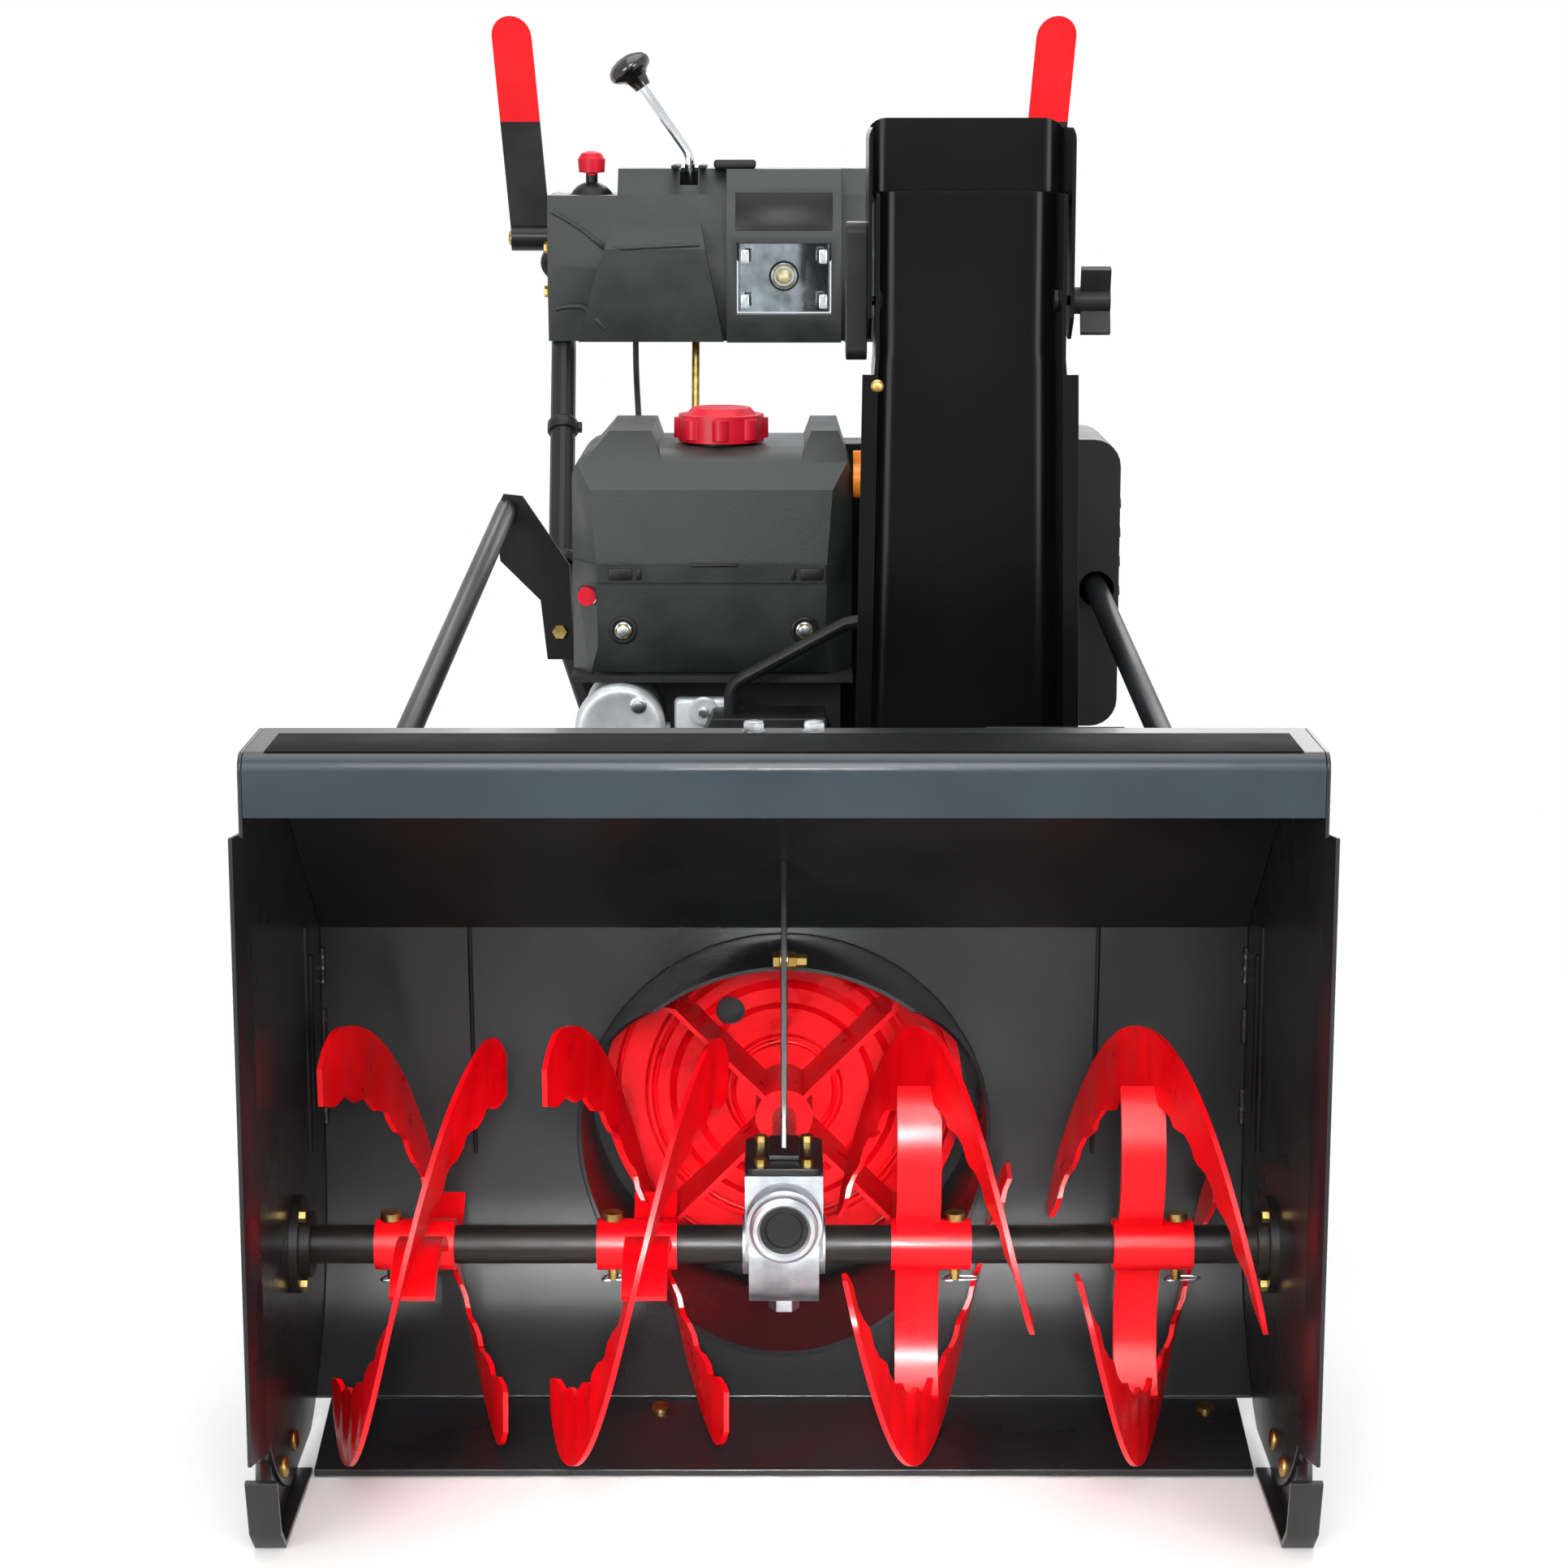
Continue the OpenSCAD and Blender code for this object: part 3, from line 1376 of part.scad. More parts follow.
// Joystick: a stick on cross pins in a gimbal, under a ball-shaped boot
ring_r = 15;
module joystick_gimbal() {
    color("silver")
        translate([-stick_x, fy(stick_y), stick_z])
            difference() {
                union() {
                    translate([0, 0, -5])
                        cylinder(r = ring_r, h = 10);
                    rotate([90, 0, 0])
                        translate([0, 0, -34])
                            cylinder(r = gimbal_pin_r, h = 68);
                }
                translate([0, 0, -6])
                    cylinder(r = ring_r - 5, h = 12);
                rotate([0, 90, 0])
                    translate([0, 0, -ring_r - 1])
                        cylinder(r = 2.5 + fit, h = 2 * ring_r + 2);
            }
}
module joystick() {
    color("red")
        translate([-stick_x, fy(stick_y), stick_z]) {
            rotate([0, 90, 0])
                translate([0, 0, -ring_r + 1])
                    cylinder(r = 2.5, h = 2 * ring_r - 2);
            translate([0, 0, -5])
                cylinder(r = 6, h = 38);
            rotate_extrude()
                polygon(concat(
                    [[4, 32]], [[13, 33], [14, 46], [10, 52], [4, 54]]
                ));
            difference() {
                sphere(boot_r);
                sphere(boot_r - 3);
                translate([-boot_r - 1, -boot_r - 1, -2 * boot_r + 9])
                    cube([2 * boot_r + 2, 2 * boot_r + 2, 2 * boot_r]);
            }
        }
}

// Chute: a channel that stands open to the front on a turning ring
chute_low = chute_z + gap;
ring_t = 6;
function channel(half, t) = concat(
    [[half + t, -chute_front]],
    arc([half - 18, chute_back - 18], 18 + t, 0, 90),
    arc([18 - half, chute_back - 18], 18 + t, 90, 180),
    [[-half - t, -chute_front]]
);
channel_z = [chute_low + ring_t - 1, shoulder_z, shoulder_z + 12, chute_top];
channel_half = [chute_foot_w / 2, chute_top_w / 2 + 1, chute_top_w / 2, chute_top_w / 2];
module channel_walls() {
    loops = [for (w = channel_half) concat(channel(w, sheet), backwards(channel(w, 0)))];
    n = len(loops[0]);
    half = n / 2;
    pts = [for (k = [0 : 3], p = loops[k]) [p[0], p[1], channel_z[k]]];
    sides = [
        for (k = [0 : 2], i = [0 : n - 1])
            let (a = k * n + i, b = k * n + (i + 1) % n)
            each [[a, a + n, b + n], [a, b + n, b]]
    ];
    low = [
        for (i = [0 : half - 2])
            each [[i, i + 1, n - 2 - i], [i, n - 2 - i, n - 1 - i]]
    ];
    high = [for (f = low) [f[0], f[2], f[1]] + [3 * n, 3 * n, 3 * n]];
    polyhedron(pts, concat(sides, low, high));
}
flange_w = 10;
module chute() {
    foot = chute_foot_w / 2 + sheet - 0.5;
    top = chute_top_w / 2 + sheet + 0.5;
    flange = [
        [foot, chute_low + ring_t], [foot + flange_w, chute_low + ring_t],
        [top + flange_w, shoulder_z - 1], [top, shoulder_z - 1]
    ];
    color("black")
        translate([chute_x, 0, 0])
            difference() {
                union() {
                    translate([0, fy(chute_y), 0])
                        channel_walls();
                    both_sides()
                        xz_plate(flange, [chute_y - chute_front, chute_y - chute_front + sheet]);
                    difference() {
                        z_rod(turntable_r, [chute_low, chute_low + ring_t], 0, chute_y);
                        z_rod(neck_r, [chute_low - 1, chute_low + ring_t + 1], 0, chute_y);
                    }
                    x_rod(
                        stud_r, [-chute_top_w / 2 - sheet - nest_gap - 6, 1 - chute_top_w / 2],
                        chute_y, pivot_z
                    );
                }
                x_rod(stud_r + fit, [0, chute_top_w], chute_y, pivot_z);
            }
}
nest_half = chute_top_w / 2 + sheet + nest_gap;
nest_back = chute_back + sheet + 6;
module deflector() {
    u = concat(
        [[nest_half, chute_y - chute_front - 9]],
        arc([nest_half - 15, chute_y + nest_back - 15], 15, 0, 90),
        arc([15 - nest_half, chute_y + nest_back - 15], 15, 90, 180),
        [[-nest_half, chute_y - chute_front - 9]]
    );
    lower = chute_lip - 2;
    rear = nest_back + sheet + 1;
    outline = [
        [-chute_front, deflector_h], [rear, deflector_h], [rear, lower], [rear - 31, lower - 24],
        [28, -22], [-20, -30], [-chute_front, -12]
    ];
    color("black")
        translate([chute_x, 0, 0])
            difference() {
                intersection() {
                    xy_plate(strip(u, -sheet), [pivot_z - 40, pivot_z + deflector_h]);
                    yz_plate(
                        [for (p = outline) p + [chute_y, pivot_z]],
                        [-nest_half - 9, nest_half + 9]
                    );
                    xz_plate(
                        rounded(-nest_half - sheet, nest_half + sheet, 0, pivot_z + deflector_h, 17),
                        [chute_y - 99, chute_y + 99]
                    );
                }
                x_rod(stud_r + fit, [-nest_half - 9, nest_half + 9], chute_y, pivot_z);
            }
}
module pitch_bracket() {
    x = [-nest_half - sheet - 17, -nest_half - sheet];
    color("black")
        translate([chute_x, 0, 0])
            difference() {
                yz_plate(
                    rounded(chute_y - 10, chute_y + 30, pivot_z - 48, pivot_z + 63, 9), x
                );
                yz_plate(
                    rounded(chute_y - 6, chute_y + 26, pivot_z + 12, pivot_z + 59, 6), [x[0] - 1, x[1] - 4]
                );
                x_rod(stud_r + 3, [x[0] - 1, x[1] + 1], chute_y, pivot_z);
            }
}
module wing_knob() {
    inside = chute_top_w / 2;
    seat = nest_half + sheet + gap;
    color([0.12, 0.12, 0.12])
        translate([chute_x, 0, 0]) {
            x_rod(stud_r, [inside - 3, seat + 10], chute_y, pivot_z);
            x_rod(2.2 * stud_r, [inside - 3.5, inside - gap], chute_y, pivot_z);
            x_rod(11, [seat, seat + 32], chute_y, pivot_z);
            for (k = [-1, 1])
                translate([seat + 8, fy(chute_y), pivot_z])
                    rotate([k * 20, 0, 0])
                        translate([0, -4, k > 0 ? 4 : -28])
                            cube([24, 8, 24]);
        }
}
// Chute drive: the motor under the turntable and its stay
motor_back = chute_y + neck_out + 56;
module chute_drive() {
    motor_top = chute_z - neck_flange_t;
    stay_y = motor_back - 12;
    stay = [
        [-46, stay_y - 8, belt_cover_top], [-46, stay_y - 8, belt_cover_top + 24],
        [chute_x - 98, stay_y, belt_cover_top + 76],
        [chute_x, stay_y, belt_cover_top + 95], [chute_x, stay_y, motor_top - 1]
    ];
    color("black") {
        difference() {
            box([chute_x - 35, chute_x + 35], [chute_y, motor_back], [motor_top - 54, motor_top]);
            neck_form(-1.5);
            box([0, 300], [0, chute_y + 25], [0, chute_z]);
        }
        bent_tube(stay, 6, 16);
    }
}
// Clutch cables from the console down to the drive frame
cable_r = 3;
module control_cables() {
    color("black")
        both_sides() {
            path = [
                [150, dash_y + 60, dash_z - dash_wall], [150, dash_y + 60, dash_low - 30],
                [128, frame_end - 30, frame_top + 190], [118, frame_end - 40, frame_top]
            ];
            bent_tube(path, cable_r, 60, 8);
        }
}
// Bolt heads of the standing structure, each seated on its face
bolt_h = 5;
module bolt_head(r) {
    cylinder(r = r, h = bolt_h, $fn = 6);
}
module fasteners() {
    head = 7;
    color("darkkhaki") {
        for (x = [-22, 22])
            translate([x, fy(top_depth - 14), housing_h])
                bolt_head(head);
        for (x = [-18, 18], y = [-31, 31])
            translate([x, fy(auger_y + y), cover_z + cover_t])
                bolt_head(5);
        for (x = [-341, -100, 100, 341])
            translate([
                x / 381 * half_w, fy(trough_end[0] - 16),
                trough_end[1] - 16 * scraper_dir[1] / scraper_dir[0]
            ])
                rotate([atan2(scraper_dir[1], scraper_dir[0]), 0, 0])
                    cylinder(r = head, h = 3);
        both_sides() {
            for (y = [105, 160])
                translate([plate_out + shoe_t, fy(y), 40])
                    rotate([0, 90, 0])
                        bolt_head(head);
            for (a = [30, 150, 270])
                translate([half_w - 0.45 * auger_bearing_t, fy(auger_y), auger_z])
                    rotate([a, 0, 0])
                        translate([0, 0, auger_bearing_r - 6])
                            rotate([0, -90, 0])
                                bolt_head(5);
            translate([tube_x + 52, fy(gusset_y - gusset_t), frame_top + 232])
                rotate([90, 0, 0])
                    bolt_head(head);
        }
        for (x = [-140, 18])
            translate([x, fy(shroud_y), shroud_z + 40])
                rotate([90, 0, 0])
                    bolt_head(head);
    }
}
// Clean-out tool: lies on the slanted panel with its blade at the top
module clean_out_tool() {
    x = [148, 250];
    tool_r = 9;
    top = top_rear + 8 * slant_dir;
    foot = top + 60 * slant_dir;
    blade = [top, foot];
    grip0 = top + 40 * slant_dir + tool_r * slant_up;
    grip1 = grip0 + 210 * slant_dir;
    mid = (x[0] + x[1]) / 2;
    color([0.13, 0.13, 0.13]) {
        yz_plate(strip(blade, 5), x);
        rod([mid, grip0[0], grip0[1]], [mid, grip1[0], grip1[1]], tool_r);
    }
}

auger_housing();
side_plates();
scraper_bar();
skid_shoes();
bearings();
impeller_drum();
gearbox_case();
gearbox_cover();
gearbox_brace();
frame_box();
engine_block();
engine_shroud();
blower_housing();
fuel_tank();
muffler_guard();
starter_motor();
belt_cover();
handle_tubes();
handle_braces();
hand_grips();
dash_panel();
headlight_reflector();
headlight_lens();
belts();
chute_drive();
control_cables();
fasteners();
clean_out_tool();
auger_shaft();
worm_wheel();
left_outer_auger();
left_inner_auger();
right_inner_auger();
right_outer_auger();
shear_pins();
impeller();
impeller_shaft();
impeller_pulley();
crank_pulley();
drive_disc();
hex_shaft();
friction_wheel();
left_rim();
left_tyre();
right_rim();
right_tyre();
chute();
deflector();
pitch_bracket();
wing_knob();
left_clutch_lever();
right_clutch_lever();
left_trigger();
right_trigger();
shift_lever();
joystick_gimbal();
joystick();
fuel_cap();
choke_knob();
start_button();
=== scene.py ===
"""Dresses the two-stage snow thrower: finishes for its solids, formed pieces over them, and a studio."""

import json
import math

import bmesh
import bpy
from mathutils import Matrix, Vector


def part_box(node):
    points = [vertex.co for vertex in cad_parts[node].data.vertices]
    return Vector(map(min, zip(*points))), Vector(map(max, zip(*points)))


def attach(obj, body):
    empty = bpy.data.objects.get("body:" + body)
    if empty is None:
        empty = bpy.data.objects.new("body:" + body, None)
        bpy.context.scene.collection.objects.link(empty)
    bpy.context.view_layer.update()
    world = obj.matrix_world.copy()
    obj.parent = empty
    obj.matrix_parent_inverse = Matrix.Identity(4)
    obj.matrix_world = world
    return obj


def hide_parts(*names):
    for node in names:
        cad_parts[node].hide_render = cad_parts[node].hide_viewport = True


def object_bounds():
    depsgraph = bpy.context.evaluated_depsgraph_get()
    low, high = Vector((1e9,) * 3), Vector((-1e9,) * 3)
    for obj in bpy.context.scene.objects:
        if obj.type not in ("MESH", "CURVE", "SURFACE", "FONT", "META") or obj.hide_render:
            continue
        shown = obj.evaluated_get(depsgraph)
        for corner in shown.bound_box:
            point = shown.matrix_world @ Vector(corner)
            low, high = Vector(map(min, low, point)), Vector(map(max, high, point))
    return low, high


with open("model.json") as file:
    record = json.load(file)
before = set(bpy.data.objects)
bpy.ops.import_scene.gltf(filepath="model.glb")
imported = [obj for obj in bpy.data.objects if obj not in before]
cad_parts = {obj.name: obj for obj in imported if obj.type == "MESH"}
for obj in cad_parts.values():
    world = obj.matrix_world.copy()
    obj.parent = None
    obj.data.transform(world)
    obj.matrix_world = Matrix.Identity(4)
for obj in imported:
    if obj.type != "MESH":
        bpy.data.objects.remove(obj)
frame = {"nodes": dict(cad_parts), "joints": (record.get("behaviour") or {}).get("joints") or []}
CAD_BOX = [list(corner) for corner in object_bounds()]

bl_info = {
    "name": "Snow thrower dressing",
    "version": (1, 0, 0),
    "blender": (4, 5, 0),
    "location": "View3D > Sidebar > Snow Thrower",
    "description": "Finishes and formed pieces for a two-stage snow thrower",
    "category": "Object",
}

MM = 0.001
NODES = frame["nodes"]
# Shapes are drawn in millimetres, with y as the distance behind the housing's lip.
LIP = Vector((0, CAD_BOX[0][1], 0))
FORWARD, BACK, UP = (0, -1, 0), (0, 1, 0), (0, 0, 1)
SIDES = (-1, 1)
AUGERS = ["left_outer_auger", "left_inner_auger", "right_inner_auger", "right_outer_auger"]
# The band of a noise that holds nearly all of it
NOISE_BAND = (0.3, 0.7)
PATCH_DETAIL, GRAIN_DETAIL = 4.0, 3.0
GRAIN_STRENGTH = 0.6
COAT_ROUGHNESS = 0.08


class SnowThrowerColours(bpy.types.PropertyGroup):
    """Colours that a user would change, as sRGB hex values."""

    black: bpy.props.StringProperty(
        name="Black enamel", description="Paint of housing, chute and handles", default="#161718")
    # The lip's slate tone is a painted sheen: light falling on the housing's black lip, drawn into its
    # colour.
    lip_sheen_tone: bpy.props.StringProperty(
        name="Slate enamel", description="Paint of the housing's front lip", default="#1B262C")
    red: bpy.props.StringProperty(
        name="Red enamel", description="Paint of augers and impeller", default="#DE000D")
    dip: bpy.props.StringProperty(
        name="Red dip", description="Soft coating of the clutch levers", default="#DD0A14")
    cap: bpy.props.StringProperty(
        name="Red moulding", description="Fuel cap, joystick and button", default="#CC1029")
    orange: bpy.props.StringProperty(
        name="Orange moulding", description="Choke knob", default="#F78B1F")
    moulding: bpy.props.StringProperty(
        name="Grey moulding", description="Console and engine cover", default="#252828")
    rim: bpy.props.StringProperty(
        name="Rim enamel", description="Paint of the wheel rims", default="#8C9094")


class SnowThrowerSizes(bpy.types.PropertyGroup):
    """Sizes that a user would change."""

    edge: bpy.props.FloatProperty(
        name="Moulded edge", description="Radius of the mouldings' edges",
        default=3.0 * MM, unit="LENGTH")
    sheet_edge: bpy.props.FloatProperty(
        name="Sheet edge", description="Radius of the painted sheet edges",
        default=0.9 * MM, unit="LENGTH")
    weld: bpy.props.FloatProperty(
        name="Weld bead", description="Radius of the weld beads", default=3.2 * MM, unit="LENGTH")
    lens: bpy.props.FloatProperty(
        name="Camera lens", description="Focal length of the camera", default=78.7, min=10.0)


def sizes():
    return bpy.context.scene.thrower_sizes


def linear(code):
    """An sRGB hex value as linear RGBA."""
    parts = [int(code[i:i + 2], 16) / 255 for i in (1, 3, 5)]
    return [p / 12.92 if p <= 0.04045 else ((p + 0.055) / 1.055) ** 2.4 for p in parts] + [1.0]


def mixed(first, second, share):
    """A hex value between two others."""
    pairs = [(int(first[i:i + 2], 16), int(second[i:i + 2], 16)) for i in (1, 3, 5)]
    return "#" + "".join(f"{round(a + (b - a) * share):02X}" for a, b in pairs)


def shade(tone):
    """A tone's hex value: its own, or a user's colour with a share of another."""
    if isinstance(tone, str):
        return tone
    name, other, share = tone
    return mixed(getattr(bpy.context.scene.thrower_colours, name), other, share)


def dial(tree, node, values=None, links=None):
    """Sets a node's sockets to values or links them."""
    for name, value in (values or {}).items():
        node.inputs[name].default_value = value
    for name, source in (links or {}).items():
        tree.links.new(source, node.inputs[name])


def add_node(tree, kind, settings=None, values=None, links=None):
    """Adds one node with its settings, its sockets' values and its links."""
    node = tree.nodes.new(kind)
    for name, value in (settings or {}).items():
        setattr(node, name, value)
    dial(tree, node, values, links)
    return node


def new_material(name):
    """A material with its tree, shader and Object coordinates."""
    material = bpy.data.materials.new(name)
    material.use_nodes = True
    tree = material.node_tree
    place = add_node(tree, "ShaderNodeTexCoord").outputs["Object"]
    return material, tree, tree.nodes["Principled BSDF"], place


def per_mm(size):
    """Texture scale at which one feature is so many millimetres wide."""
    return 1.0 / (size * MM)


def skin(tree, shader, place, pairs, rough, grain, height, patch):
    """Gives a shader a patchy gloss and a grain, and hands on a patchy colour for each pair of tones."""
    patches = add_node(tree, "ShaderNodeTexNoise", values={"Scale": per_mm(patch), "Detail": PATCH_DETAIL},
                       links={"Vector": place}).outputs["Fac"]
    colours = []
    for pair in pairs:
        ramp = add_node(tree, "ShaderNodeValToRGB", links={"Fac": patches})
        for stop, position, tone in zip(ramp.color_ramp.elements, NOISE_BAND, pair):
            stop.position, stop.color = position, linear(shade(tone))
        colours.append(ramp.outputs["Color"])
    gloss = add_node(tree, "ShaderNodeMapRange", values={
        "From Min": NOISE_BAND[0], "From Max": NOISE_BAND[1], "To Min": rough[0], "To Max": rough[1]},
        links={"Value": patches})
    grit = add_node(tree, "ShaderNodeTexNoise", values={"Scale": per_mm(grain), "Detail": GRAIN_DETAIL},
                    links={"Vector": place})
    bump = add_node(tree, "ShaderNodeBump", values={"Strength": GRAIN_STRENGTH, "Distance": height * MM},
                    links={"Height": grit.outputs["Fac"]})
    dial(tree, shader, links={"Roughness": gloss.outputs["Result"], "Normal": bump.outputs["Normal"]})
    return colours


def surface(name, low, high, rough, grain, height, patch, metal, coat=0, specular=0.5, stretch=None):
    """A finish with a patchy colour, a matching gloss and a grain."""
    material, tree, shader, place = new_material(name)
    if stretch:
        place = add_node(tree, "ShaderNodeMapping", values={"Scale": stretch},
                         links={"Vector": place}).outputs["Vector"]
    colour, = skin(tree, shader, place, [(low, high)], rough, grain, height, patch)
    dial(tree, shader, {"Metallic": metal, "Coat Weight": coat, "Coat Roughness": COAT_ROUGHNESS,
                        "Specular IOR Level": specular}, {"Base Color": colour})
    return material


def two_tone(name, axis, level, under, over, rough, grain, height, patch, coat, specular):
    """A finish that changes from one pair of tones to another at a level along an axis."""
    material, tree, shader, place = new_material(name)
    split = add_node(tree, "ShaderNodeSeparateXYZ", links={"Vector": place})
    above = add_node(tree, "ShaderNodeMath", {"operation": "GREATER_THAN"}, {1: level},
                     {0: split.outputs[axis]})
    first, second = skin(tree, shader, place, (under, over), rough, grain, height, patch)
    blend = add_node(tree, "ShaderNodeMix", {"data_type": "RGBA"},
                     links={0: above.outputs["Value"], 6: first, 7: second})
    dial(tree, shader, {"Coat Weight": coat, "Specular IOR Level": specular},
         {"Base Color": blend.outputs[2]})
    return material


# Each finish starts from the real one, and its comment says what it gives the eye. A row holds the darker and
# the paler tone, their roughness, the grain and its height in millimetres, the patches in millimetres, metal,
# coat (else 0) and specular level (else 0.5). A tone is a hex value, or a user's colour, a hex value and that
# one's share.
LOOKS = {
    # Baked gloss enamel on steel sheet: near black, soft reflections, faint orange peel.
    # Orange peel of 1 mm is too fine to show, so it is drawn at 4 mm.
    "baked_black_enamel": (
        ("black", "#000000", 0.3), ("black", "#2A2C2E", 0.25), (0.34, 0.46), 4, 0.05, 140, 0, 0.04, 0.2),
    # The same enamel on the housing's plates, glossier so that they give back more of the room, with its
    # tones raised paler as painted light for the lit plates.
    "lit_gloss_black_enamel": (
        ("black", "#000000", 0.2), ("black", "#2A2C2E", 0.4), (0.24, 0.36), 4, 0.05, 140, 0, 0.06, 0.4),
    # The same enamel on the smooth sheets of the chute, its tones drawn darker as painted shade for the dark
    # room its broad faces give back: deep black that shines only along its edges.
    "shaded_black_enamel": (
        ("black", "#000000", 0.75), ("black", "#000000", 0.45), (0.2, 0.3), 5, 0.04, 160, 0, 0.03, 0.12),
    # Thick gloss enamel on rolled steel: saturated red that runs darker in patches.
    "gloss_red_enamel": (
        ("red", "#7A0006", 0.22), ("red", "#FF2018", 0.2), (0.26, 0.36), 5, 0.12, 45, 0, 0.06, 0.26),
    # Moulded polypropylene, semi-gloss with a fine skin.
    "moulded_red_plastic": (
        ("cap", "#7A0A1A", 0.25), ("cap", "#E02A40", 0.2), (0.3, 0.42), 2.5, 0.05, 30, 0, 0, 0.28),
    # Moulded orange plastic, semi-gloss, its tone a little uneven.
    "moulded_orange_plastic": (
        ("orange", "#D06A10", 0.25), ("orange", "#FFA63A", 0.3), (0.3, 0.4), 2.5, 0.04, 25, 0, 0, 0.5),
    # Spark-eroded plastic of console and engine cover: grey sheen with a leathery grain.
    # The grain of 0.8 mm is drawn at 2.2 mm, so that it shows.
    "grained_grey_plastic": (
        ("moulding", "#161717", 0.45), ("moulding", "#4A4D4D", 0.12), (0.38, 0.5), 2.2, 0.2, 35, 0, 0, 0.34),
    # Plain black nylon, semi-matt.
    "moulded_black_plastic": ("#0E0E0F", "#1C1D1E", (0.38, 0.5), 2.4, 0.08, 30, 0, 0, 0.26),
    # Die-cast aluminium, tumbled: bright grey with a sandy skin.
    "die_cast_aluminium": ("#80858A", "#B2B6BA", (0.36, 0.52), 1.8, 0.14, 22, 1),
    # Silver paint on the starter's can: pale, satin, with a fine metallic flake.
    "silver_can_paint": ("#A4ABAC", "#C8CFCF", (0.34, 0.46), 1.4, 0.06, 26, 0.4),
    # The engine's casting below its cover, drawn near black and dull, with a sandy skin.
    "dull_dark_casting": ("#121313", "#232425", (0.5, 0.66), 1.8, 0.16, 24, 0, 0, 0.25),
    # Turned steel with fine tool marks across its axis.
    "turned_steel": ("#8A8C8E", "#B4B6B8", (0.24, 0.36), 1.6, 0.04, 20, 1, 0, 0.5, (3, 1, 1)),
    # Black-oxide shaft steel: dark with a warm brown haze.
    "black_oxide_steel": ("#0E0D0D", "#1F1C1A", (0.34, 0.48), 2, 0.05, 40, 0, 0, 0.25),
    # Grey cast iron of the pulleys, dull and open-grained.
    "grey_cast_iron": ("#4A4B4C", "#6E7072", (0.5, 0.65), 1.5, 0.12, 18, 0.8),
    # Yellow-passivated zinc: gold that drifts to pale and rose.
    "yellow_zinc_plate": ("#86692F", "#BFA868", (0.28, 0.42), 1.2, 0.03, 9, 1),
    # Clear-passivated zinc: a cold pale bolt finish.
    "clear_zinc_plate": ("#7C8186", "#B4B9BD", (0.25, 0.38), 1.2, 0.03, 9, 1),
    # Machined gear bronze.
    "gear_bronze": ("#8A5A24", "#B98545", (0.3, 0.42), 1.5, 0.04, 14, 1),
    # Bright chrome plate: near-mirror with faint polish haze.
    "bright_chrome": ("#C9CCCE", "#E4E6E8", (0.06, 0.14), 3, 0.01, 40, 1),
    # Moulded tyre rubber, matt, with mould bloom.
    "moulded_tyre_rubber": ("#111111", "#222322", (0.66, 0.84), 2.6, 0.2, 40, 0, 0, 0.35),
    # Soft black rubber of grips, belts and cable skins.
    "soft_black_rubber": ("#0D0D0D", "#1A1A1A", (0.5, 0.66), 2.2, 0.12, 25, 0, 0, 0.4),
    # Grey enamel on pressed wheel rims.
    "grey_rim_enamel": (
        ("rim", "#5A5E62", 0.3), ("rim", "#B4B8BC", 0.2), (0.3, 0.42), 4, 0.06, 70, 0, 0.3, 0.5),
    # Painted weld bead, lumpy and glossier than the sheet.
    "painted_weld": ("#101112", "#2A2C2E", (0.18, 0.3), 3, 0.5, 12, 0, 0.5, 0.5),
    # Polished phenolic of the shift knob: deep black with a clear highlight.
    "polished_black_phenolic": ("#070707", "#121213", (0.1, 0.18), 5, 0.02, 40, 0, 0.5, 0.5),
    # Printed film left bare: flat dark satin, smoother than the moulding round it.
    "bare_satin_film": ("#0B0C0D", "#121314", (0.3, 0.38), 3, 0.02, 30, 0, 0, 0.25),
    # The matt band on top of the housing, left bare: it stays black where the enamel round it shines.
    "bare_matt_film": ("#0A0A0B", "#141516", (0.55, 0.7), 3, 0.04, 60, 0, 0, 0.04),
    # Warm glass of the lamp's bulb over its brass foot.
    "warm_bulb_glass": ("#B8A060", "#F2E8C0", (0.06, 0.14), 3, 0.05, 6, 0, 0.6, 0.5),
    # Moulded clear polycarbonate at the lens' rim, drawn opaque: its pale tone is a painted reflection of the
    # many reflections in the clear plastic, with bright edges.
    "pale_rim_painted_reflection": ("#8A9498", "#C8D0D4", (0.06, 0.12), 4, 0.12, 9, 0, 0.8, 0.5),
    # Vapour-deposited aluminium on the lamp's mirror: grey silver with hard bright and dark facets.
    "vapour_silver": ("#7C8286", "#B4BABE", (0.05, 0.1), 6, 0.02, 18, 1),
}

# Finishes that change at a level along an axis: axis, level, the tones under it and over it, then as above,
# without metal.
SPLIT_LOOKS = {
    # Black enamelled steel, dipped in soft red vinyl from 1.046 m up.
    "dipped_lever": (
        "Z", 1.046, (("black", "#000000", 0.3), ("black", "#2A2C2E", 0.25)),
        (("dip", "#A00008", 0.15), ("dip", "#000000", 0)),
        (0.22, 0.32), 6, 0.04, 50, 0.08, 0.22),
    # Black rubber bellows under a red moulded button.
    "joystick_moulding": (
        "Z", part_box("joystick")[1].z - 24 * MM, ("#0D0D0D", "#1B1B1C"),
        (("cap", "#7A0A1A", 0.25), ("cap", "#E02A40", 0.2)),
        (0.32, 0.45), 2.5, 0.06, 30, 0, 0.22),
    # Baked black enamel on the housing. Its front lip takes a paler slate tone, a painted sheen where light
    # falls on the black lip. Its black is raised paler than the other enamel, painted light for the lit
    # inside of the housing. The change follows the housing's depth.
    "housing_enamel_lit_lip": (
        "Y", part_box("auger_housing")[0].y + 6 * MM, (("lip_sheen_tone", "#000000", 0.12), ("lip_sheen_tone", "#42525C", 0.2)),
        (("black", "#2A2C2E", 0.2), ("black", "#2A2C2E", 0.7)),
        (0.26, 0.38), 4, 0.05, 160, 0.08, 0.4),
}


